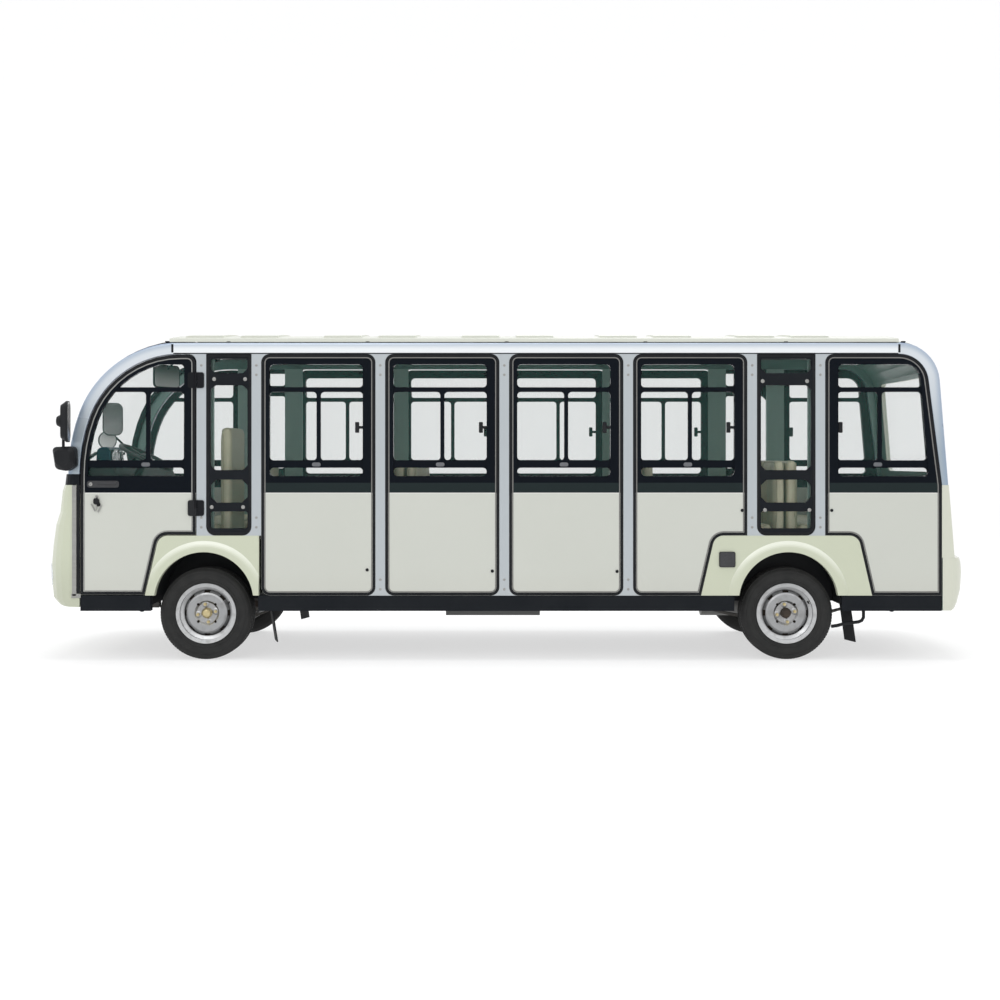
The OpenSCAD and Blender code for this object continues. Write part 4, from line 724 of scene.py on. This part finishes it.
# Tail lamps: one ribbed lens each, moulded with an amber, a red and a clear part, and let
# into the rear wall.
tail_lens = Finish("tail_lens", coat_weight=1.0)
lens_high = tail_lens.axes()[2]
lens_red = tail_lens.mix(lens_high > 0.902, (0.46, 0.012, 0.010, 1), (0.62, 0.16, 0.010, 1))
tail_lens.feed("Base Color", tail_lens.mix(lens_high < 0.800, lens_red, (0.66, 0.66, 0.64, 1)))
tail_lens.feed("Roughness", tail_lens.noise(20, 2.0) * 0.05 + 0.08)
tail_lens.bump((lens_high * 900).wave(), 0.5, 0.0012)
tail_lens.wear("tail_lights")

# Wheels: pressed steel discs in silver, darker where brake dust gathers, with a painted shade
# on faces that look down and a painted highlight on faces that look up, each on four
# brass-coloured nuts, with a valve in the flange and a turned hub in its middle.
front_axle, rear_axle, wheel_y, wheel_z = 1.958, -1.814, 0.627, 0.300
wheel_steel = Finish("wheel_silver", metallic=0.8, coat_weight=0.3)
grime = wheel_steel.noise(26, 4.0)
nearest_hub = (wheel_steel.axes()[0] > 0) * (front_axle - rear_axle) + rear_axle
radius = wheel_steel.reach(nearest_hub, wheel_z)
steel_tone = wheel_steel.mix(radius.between(0.128, 0.136), (0.30, 0.31, 0.32, 1), (0.13, 0.135, 0.14, 1))
steel_tone = wheel_steel.mix(radius.between(0.146, 0.160), steel_tone, (0.56, 0.57, 0.58, 1))
steel_tone = wheel_steel.mix(radius < 0.070, steel_tone, (0.34, 0.34, 0.34, 1))
# Painted shade on faces that look down, painted highlight on faces that look up.
shaded = wheel_steel.mix(0.55, steel_tone, (0.10, 0.10, 0.10, 1))
lit = wheel_steel.mix(0.34, steel_tone, (1.0, 1.0, 1.0, 1))
steel_tone = wheel_steel.mix(wheel_steel.facing()[2].between(-0.55, 0.75), shaded, lit)
dusty = grime.between(0.45, 0.75) * 0.35
wheel_steel.feed("Base Color", wheel_steel.mix(dusty, steel_tone, (0.17, 0.165, 0.155, 1)))
wheel_steel.feed("Roughness", grime * 0.25 + 0.22)
brass = mottled("plated_brass", (0.42, 0.34, 0.17), (0.64, 0.55, 0.33), (70, 3.0), 0.22,
                sheen=(30, 2.0), metallic=0.9)
iron = mottled("cast_iron", (0.018, 0.017, 0.016), (0.075, 0.055, 0.040), (18, 4.0), 0.55, sheen=(90, 3.0),
               specular_ior_level=0.2)
tyre_rubber = mottled("tyre_rubber", (0.013, 0.0135, 0.014), (0.034, 0.034, 0.033), (14, 5.0), 0.58,
                      specular_ior_level=0.18)
tyre_rubber.bump(tyre_rubber.noise(420, 3.0), 0.2, 0.0006)
wheels = [("front_left", front_axle, 1), ("front_right", front_axle, -1),
          ("rear_left", rear_axle, 1), ("rear_right", rear_axle, -1)]
wheel_steel.wear(*[name + "_rim" for name, _, _ in wheels])

# Rows are radius and distance from the tyre's middle plane, for one half, bead to crown
half_tyre = [(0.1960, 0.0580), (0.1962, 0.0640), (0.1990, 0.0705), (0.2060, 0.0765), (0.2150, 0.0805),
             (0.2175, 0.0828), (0.2200, 0.0830), (0.2225, 0.0815), (0.2350, 0.0860), (0.2500, 0.0872),
             (0.2600, 0.0868), (0.2615, 0.0852), (0.2640, 0.0852), (0.2655, 0.0862), (0.2750, 0.0835),
             (0.2810, 0.0800), (0.2825, 0.0775), (0.2880, 0.0735), (0.2915, 0.0670), (0.2935, 0.0450),
             (0.2935, 0.0390), (0.2940, 0.0200), (0.2940, 0.0140)]
tyre_ring = [(0, y, r) for r, y in half_tyre] + [(0, -y, r) for r, y in reversed(half_tyre)]
rib_bands = [(0.0, 0.013), (0.0205, 0.0385), (0.0455, 0.0665)]
drum_ring = [(0, 0.022, 0.066), (0, 0.022, 0.118), (0, 0.015, 0.128), (0, 0.006, 0.1425), (0, 0.004, 0.1496),
             (0, -0.010, 0.1496), (0, -0.010, 0.066)]
for name, hub_x, side in wheels:
    body, centre = name + "_wheel", at(hub_x, side * wheel_y, wheel_z)
    tyre = spun(tyre_ring, (0, 1, 0), 96)
    ribs = []
    for face in tyre.faces:
        middle = face.calc_center_median()
        on_rib = any(low < abs(middle.y) < high for low, high in rib_bands)
        if on_rib and math.hypot(middle.x, middle.z) > 0.2895:
            ribs.append(face)
    bmesh.ops.inset_individual(tyre, faces=ribs, thickness=0.0020, depth=0.0052, use_even_offset=True)
    bmesh.ops.transform(tyre, matrix=centre, verts=tyre.verts[:])
    piece = finished(tyre, name + "_tyre_tread", tyre_rubber, body, 30)
    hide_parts(name + "_tyre")
    nut = bmesh.new()
    bmesh.ops.create_cone(nut, cap_ends=True, segments=6, radius1=0.0125, radius2=0.0110, depth=0.020)
    bmesh.ops.bevel(nut, geom=[e for e in nut.edges if e.calc_face_angle(0) > 1.2], offset=0.0012,
                    affect="EDGES", segments=2, profile=0.5, material=-1)
    tip = bmesh.new()
    bmesh.ops.create_cone(tip, cap_ends=True, segments=12, radius1=0.006, radius2=0.005, depth=0.012)
    nut_places = [centre @ turn(angle, "Y") @ at(0.0585, side * 0.043, 0) @ turn(-90 * side, "X")
                  for angle in (10, 100, 190, 280)]
    nuts = stamped((nut, nut_places), (tip, [p @ at(0, 0, 0.014) for p in nut_places]))
    finished(nuts, name + "_wheel_nuts", brass, body)
    nut_seats = stamped((button(0.0235, 0.007, 20), [p @ at(0, 0, -0.0095) for p in nut_places]))
    finished(nut_seats, name + "_nut_seats", wheel_steel, body)
    stem = bmesh.new()
    bmesh.ops.create_cone(stem, cap_ends=True, segments=12, radius1=0.0045, radius2=0.0035, depth=0.034)
    valve = stamped((stem, [centre @ turn(205, "Y") @ at(0.160, side * 0.046, 0) @ turn(-70 * side, "X")]))
    finished(valve, name + "_valve", rubber, body)
    hub = stamped((button(0.0345, 0.020, 28), [on_side(hub_x, wheel_z, side, 0.6615)]),
                  (button(0.0278, 0.014, 28), [on_side(hub_x, wheel_z, side, 0.6808)]))
    finished(hub, name + "_hub_cap", iron if name.startswith("rear") else brass, body)
    drum = spun(drum_ring, (0, 1, 0), 64)
    bmesh.ops.transform(drum, matrix=centre @ Matrix.Diagonal((1, side, 1, 1)), verts=drum.verts[:])
    if side < 0:
        bmesh.ops.reverse_faces(drum, faces=drum.faces[:])
    finished(drum, name + "_brake_drum", iron, body)

# Seats: foam cushions in beige vinyl with welted edges, on moulded grey boxes. Each cover
# swells round its foam, and is pulled in along two sewn channels.
vinyl = mottled("seat_vinyl", (0.560, 0.520, 0.360), (0.640, 0.600, 0.440), (11, 4.0), 0.42, 0.15,
                coat_weight=0.08)
vinyl.bump(vinyl.node("TexVoronoi", None, {"Vector": vinyl.place(), "Scale": 520.0}), 0.18, 0.0005)
# Rows are name, width, axis that the front faces (0 for a back, 2 for a seat), length, thickness
shapes = [("seat", 0.430, 2, 0.420, 0.100), ("back", 0.430, 0, 0.520, 0.076),
          ("wide_seat", 0.470, 2, 0.420, 0.100), ("wide_back", 0.470, 0, 0.520, 0.076),
          ("tall_back", 0.470, 0, 0.740, 0.076)]
room, voxel, last_step, channel = 0.007, 0.017, 20, 0.17


def drawn_out(source):
    """The mesh of an object with its modifiers applied, which then come off it."""
    data = bpy.data.meshes.new_from_object(source.evaluated_get(bpy.context.evaluated_depsgraph_get()))
    source.modifiers.clear()
    return data


def off_channel(y, wide):
    """Distance of a point from the nearer sewn channel."""
    return min(abs(y - wide * s) for s in (-channel, channel))


covers = {}
for name, wide, front, long, thick in shapes:
    size = [long, wide, thick] if front == 2 else [thick, wide, long]
    foam = bmesh.new()
    bmesh.ops.create_cube(foam, size=1.0, matrix=Matrix.Diagonal((*[s - 2 * room for s in size], 1)))
    bmesh.ops.bevel(foam, geom=foam.edges[:], offset=0.026, affect="EDGES", segments=4,
                    profile=0.5, material=-1)
    covers[name] = placed("foam_" + name, as_mesh(foam, "foam_" + name))
    remesh = covers[name].modifiers.new("even_grid", "REMESH")
    remesh.mode = "VOXEL"
    remesh.voxel_size = voxel
bpy.context.view_layer.update()
for name, wide, front, long, thick in shapes:
    cover = covers[name]
    cover.data = drawn_out(cover)
    held = cover.vertex_groups.new(name="held")
    for vert in cover.data.vertices:
        low = vert.co[front] < -thick / 2 + 0.012
        crease = off_channel(vert.co.y, wide) < 0.008 and abs(vert.co[2 - front]) < long / 2 - 0.06
        weight = 1.0 if low else 0.8 if crease and vert.co[front] > 0 else 0.0
        held.add([vert.index], weight, "REPLACE")
stepping = bpy.context.scene
stepping.frame_start, stepping.frame_end = 1, last_step
for cover in covers.values():
    cloth = cover.modifiers.new("swell", "CLOTH")
    cloth.settings.quality = 6
    cloth.settings.mass = 0.25
    cloth.settings.tension_stiffness = 12
    cloth.settings.compression_stiffness = 12
    cloth.settings.bending_stiffness = 0.4
    cloth.settings.use_pressure = True
    cloth.settings.uniform_pressure_force = 4
    cloth.settings.effector_weights.gravity = 0
    cloth.settings.vertex_group_mass = "held"
    cloth.point_cache.frame_start, cloth.point_cache.frame_end = 1, last_step
for step in range(1, last_step + 1):
    stepping.frame_set(step)
for name, wide, front, long, thick in shapes:
    swollen = drawn_out(covers[name])
    for vert, bare in zip(swollen.vertices, covers[name].data.vertices):
        move = vert.co - bare.co
        limit = 0.018 if bare.co[front] > 0 else 0.004
        if abs(bare.co.y) > wide / 2 - 0.02:
            limit = 0.008
        if move.length > limit:
            vert.co = bare.co + move * (limit / move.length)
    covers[name].data = swollen
stepping.frame_set(1)
for name, wide, front, long, thick in shapes:
    smoother = covers[name].modifiers.new("smooth", "SUBSURF")
    smoother.levels = smoother.render_levels = 1
    bpy.context.view_layer.update()
    fine = drawn_out(covers[name])
    for vert in fine.vertices:
        to_end = long / 2 - 0.05 - abs(vert.co[2 - front])
        if vert.co[front] > 0 and to_end > 0:
            dip = 0.007 * math.exp(-(off_channel(vert.co.y, wide) / 0.007) ** 2)
            vert.co[front] -= dip * min(1, to_end / 0.03)
    fine.shade_smooth()
    covers[name].data = fine

# Rows are backrest x, way that it faces, y, and the shapes of its seat and its back
rows = [(0.671, 1), (0.667, -1), (-0.960, 1), (-1.819, 1), (-1.823, -1)]
seats = [(x, way, y, ("seat", "back")) for x, way in rows for y in (-0.440, 0, 0.440)]
seats += [(1.808, 1, 0.370, ("wide_seat", "tall_back")), (1.708, 1, -0.370, ("wide_seat", "wide_back"))]
middles = {name: at(0.038, 0, 0.782 + long / 2) if front == 0 else at(0.290, 0, 0.832)
           for name, _, front, long, _ in shapes}


def cushion_place(seat, name):
    """Where the cushion of this shape sits on a seat."""
    x, way, y, _ = seat
    return at(x, y, 0) @ turn(0 if way > 0 else 180, "Z") @ middles[name]


for number, seat in enumerate(seats):
    for name in seat[3]:
        data = covers[name].data.copy()
        data.name = f"{name}_{number}"
        data.transform(cushion_place(seat, name))
        data.materials.clear()
        data.materials.append(vinyl.material)
        cushion = placed(data.name, data)
        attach(cushion, "root")
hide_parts("cabin_seats")
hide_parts("front_seats")


# Welts are sewn cords of the same vinyl round the front of each cushion, laid on its
# swollen cover.
def tube(points, radius, roundness, closed=False):
    """A round cord or rod along a row of points."""
    cord = bpy.data.curves.new("tube", "CURVE")
    cord.dimensions = "3D"
    cord.bevel_depth = radius
    cord.bevel_resolution = roundness
    cord.use_fill_caps = not closed
    line = cord.splines.new("POLY")
    line.points.add(len(points) - 1)
    line.use_cyclic_u = closed
    for knot, point in zip(line.points, points):
        knot.co = (*point, 1)
    holder = placed("tube", cord)
    bpy.context.view_layer.update()
    shape = bmesh.new()
    shape.from_mesh(drawn_out(holder))
    bpy.data.objects.remove(holder)
    return shape


welt = mottled("seat_welt", (0.36, 0.33, 0.22), (0.48, 0.44, 0.30), (200, 2.0), 0.45, sheen=(400, 2.0))
for name, wide, front, long, _ in shapes:
    lay = blank(long - 0.040, wide - 0.040, 0.045, 6)
    track = [v.co.copy() for v in next(iter(lay.faces)).verts]
    lay.free()
    laid = []
    inward = Vector((0, 0, 0))
    inward[front] = -1
    for one, other in zip(track, track[1:] + track[:1]):
        parts = max(1, int((other - one).length / 0.03))
        for flat in [one.lerp(other, k / parts) for k in range(parts)]:
            probe = Vector((flat.x, flat.y, 0.2)) if front == 2 else Vector((0.2, flat.y, flat.x))
            laid.append(covers[name].ray_cast(probe, inward)[1])
    places = [cushion_place(seat, name) for seat in seats if name in seat[3]]
    welts = stamped((tube(laid, 0.0042, 1, closed=True), places))
    finished(welts, name + "_welts", welt, "root", 60)
for cover in covers.values():
    bpy.data.objects.remove(cover)

# Seat boxes and inner pillar covers: moulded and folded panels in greys, with a fine grain; the pillar
# covers' grey carries a painted green cast of the glass they are seen through.
# Wheel housings, wipers, mirror heads and column are of the same black nylon as the pulls.
box_grey = mottled("grey_moulding", (0.250, 0.260, 0.255), (0.330, 0.340, 0.330), (24, 5.0), 0.45)
box_grey.bump(box_grey.noise(800, 2.0), 0.15, 0.0004)
box_grey.wear("seat_frames")
# The inner posts' greenish grey is a painted green cast of the glass.
post_paint, _ = sprayed("post_grey", (0.30, 0.41, 0.375), 0.40, 0.05, 500)
post_paint.wear("inner_posts")
nylon.wear("wheel_housings", "wipers", "mirrors", "steering_column")

# Cab: a moulded dashboard under a soft black skin, a dark blue instrument pod with three
# dials behind the wheel, and a thin-rimmed steering wheel with its horn pad.
skin = Finish("dash_skin", specular_ior_level=0.2)
run_x, _, run_z = skin.axes()
pod = (run_z > 1.296) * (run_x > 2.590)
black_skin = skin.mix(skin.noise(7, 2.0), (0.016, 0.018, 0.018, 1), (0.030, 0.033, 0.033, 1))
skin.feed("Base Color", skin.mix(pod, black_skin, (0.010, 0.050, 0.085, 1)))
skin.feed("Roughness", 0.55 - pod * 0.35)
skin.bump(skin.node("TexVoronoi", None, {"Vector": skin.place(), "Scale": 380.0}), 0.25, 0.0008)
skin.wear("dashboard")
hide_rim = mottled("wheel_rim_skin", (0.014, 0.014, 0.016), (0.032, 0.032, 0.034), (30, 3.0), 0.4,
                   0.15, (50, 2.0))
hide_rim.bump(hide_rim.noise(900, 2.0), 0.2, 0.0004)
hide_rim.wear("steering_wheel")
dial_glass = Finish("dial_glass", base_color=(0.012, 0.035, 0.055, 1), coat_weight=1.0)
dial_glass.feed("Roughness", dial_glass.noise(9, 2.0) * 0.04 + 0.05)
driver_y = 0.370
facing_driver = at(2.6335, driver_y, 1.322) @ turn(-84, "Y") @ turn(90, "Z")
finished(stamped((plate(0.250, 0.092, 0.014, 0.004), [facing_driver])),
         "dial_panel", dial_glass)
dial_parts = []
proud_of_panel = 0.0045
# Rows are distance along the panel and radius
for shift, size in ((-0.070, 0.036), (0.010, 0.036), (0.078, 0.022)):
    dial = facing_driver @ at(shift, 0, 0)
    wire_ring = [(size + 0.002 * math.cos(a), 0, proud_of_panel + 0.002 * math.sin(a))
                 for a in [math.radians(d) for d in range(0, 360, 60)]]
    pointing = Matrix.Rotation(0.7, 4, "Z") @ at(0, size * 0.3, proud_of_panel)
    needle = plate(0.002, size * 0.8, 0.0005, 0.001, 0.0002)
    dial_parts += [(spun(wire_ring, (0, 0, 1), 32), [dial]), (needle, [dial @ pointing])]
finished(stamped(*dial_parts), "dial_rims", chrome)
column_end = at(2.438, driver_y, 1.315) @ turn(-26, "Y")
pad = stamped((button(0.036, 0.012, 28), [column_end @ at(0, 0, 0.007)]))
finished(pad, "horn_pad", satin_black, "steering_wheel")

# Mirrors: a pane of silvered glass, let into the rim of each black head. Each carries a
# painted reflection: a tone of its own, paler at the foot.
# Rows are name, place, width, height, corner, turn, and the painted reflection's tone at the
# foot and the top
panes = [("left", (2.799, 0.840, 1.542), 0.160, 0.262, 0.052, 12, 0.16, 0.05),
         ("right", (2.972, -0.628, 1.602), 0.150, 0.246, 0.048, -56, 0.26, 0.06),
         ("round", (3.009, -0.618, 1.443), 0.138, 0.138, 0.0679, -56, 0.78, 0.64),
         ("inside", (2.380, 0.060, 1.880), 0.250, 0.160, 0.030, -28, 1.0, 0.14)]
for name, place, wide, tall, corner, turned, foot, top in panes:
    silvering = Finish("mirror_glass_" + name, metallic=0.15, coat_weight=0.5)
    rise = silvering.axes()[2].between(place[2] - tall / 2, place[2] + tall / 2)
    # The pane's colour is a painted reflection, paler at the foot.
    painted_reflection = silvering.mix(rise, tone((1.0, 0.985, 0.99), foot), tone((1.0, 1.0, 1.0), top))
    silvering.feed("Base Color", painted_reflection)
    silvering.feed("Roughness", silvering.noise(8, 2.0) * 0.04 + 0.12)
    to_face = at(*place) @ turn(turned, "Z") @ turn(-90, "Y") @ turn(90, "Z") @ at(0, 0, -0.0004)
    pane = stamped((plate(wide - 0.014, tall - 0.014, corner - 0.007, 0.0022), [to_face]))
    finished(pane, "mirror_pane_" + name, silvering)

# Charge cover on the left rear fender: a hinged square lid of moulded nylon, with a round
# finger lock in its middle.
nylon.wear("charge_cover")
lid_x, lid_z = -1.419, 0.655
lid = stamped((plate(0.096, 0.092, 0.011, 0.003, 0.0012), [on_side(lid_x, lid_z, 1, 0.7578)]),
              (button(0.024, 0.004, 28), [on_side(lid_x, lid_z, 1, 0.7605)]),
              (plate(0.026, 0.006, 0.002, 0.002, 0.0005), [on_side(lid_x, lid_z, 1, 0.7640)]))
finished(lid, "charge_lid", satin_black)

# Mud flaps of moulded rubber. Each rear one is held by a bent black steel arm below the
# sill, and rubber plugs close the drain holes under the sills.
rubber.wear("mud_flaps")
bends = [(-2.318, 0.321), (-2.318, 0.272), (-2.306, 0.252), (-2.284, 0.243),
         (-2.190, 0.232), (-2.150, 0.220), (-2.108, 0.214)]
for side, word in sides:
    arm = tube([(x, side * 0.678, z) for x, z in bends], 0.0110, 2)
    finished(arm, "flap_arm_" + word, nylon)
plug_places = [at(x, side * 0.715, 0.3225) @ turn(180, "X") for x in (2.367, -2.490) for side in both_sides]
finished(stamped((button(0.016, 0.009), plug_places)), "sill_plugs", rubber)

# Chassis: rails, cross members, axles and springs in chassis black, dulled by road dust,
# over the floor's studded vinyl; battery case and motor in their own coats.
chassis_black, chassis_base = sprayed("chassis_black", (0.026, 0.026, 0.028), 0.5, 0.25, 300)
road = chassis_black.noise(9, 4.0)
dusted = chassis_black.mix(road.between(0.5, 0.8) * 0.5, chassis_base, (0.11, 0.095, 0.075, 1))
chassis_black.feed("Base Color", dusted)
chassis_black.wear("chassis_frame", "front_axle", "rear_axle", "leaf_springs",
                   "left_knuckle", "right_knuckle")
vinyl_floor = Finish("floor_vinyl")
floor_x, floor_y, _ = vinyl_floor.axes()
speckle = vinyl_floor.noise(350, 2.0)
flecked = vinyl_floor.mix(speckle.between(0.4, 0.7), (0.075, 0.080, 0.085, 1), (0.16, 0.165, 0.17, 1))
vinyl_floor.feed("Base Color", flecked)
vinyl_floor.feed("Roughness", speckle * 0.2 + 0.45)
vinyl_floor.bump((floor_x * 209).wave() * (floor_y * 209).wave(), 0.6, 0.0012)
vinyl_floor.wear("floor_deck")
case_coat, _ = sprayed("battery_coat", (0.060, 0.066, 0.072), 0.45, 0.15, 500)
case_coat.wear("battery_pack")
cast_alloy = mottled("motor_casting", (0.10, 0.10, 0.098), (0.20, 0.20, 0.195), (20, 4.0), 0.4,
                     sheen=(60, 3.0), metallic=0.7)
cast_alloy.bump(cast_alloy.noise(500, 3.0), 0.4, 0.0008)
cast_alloy.wear("drive_motor")
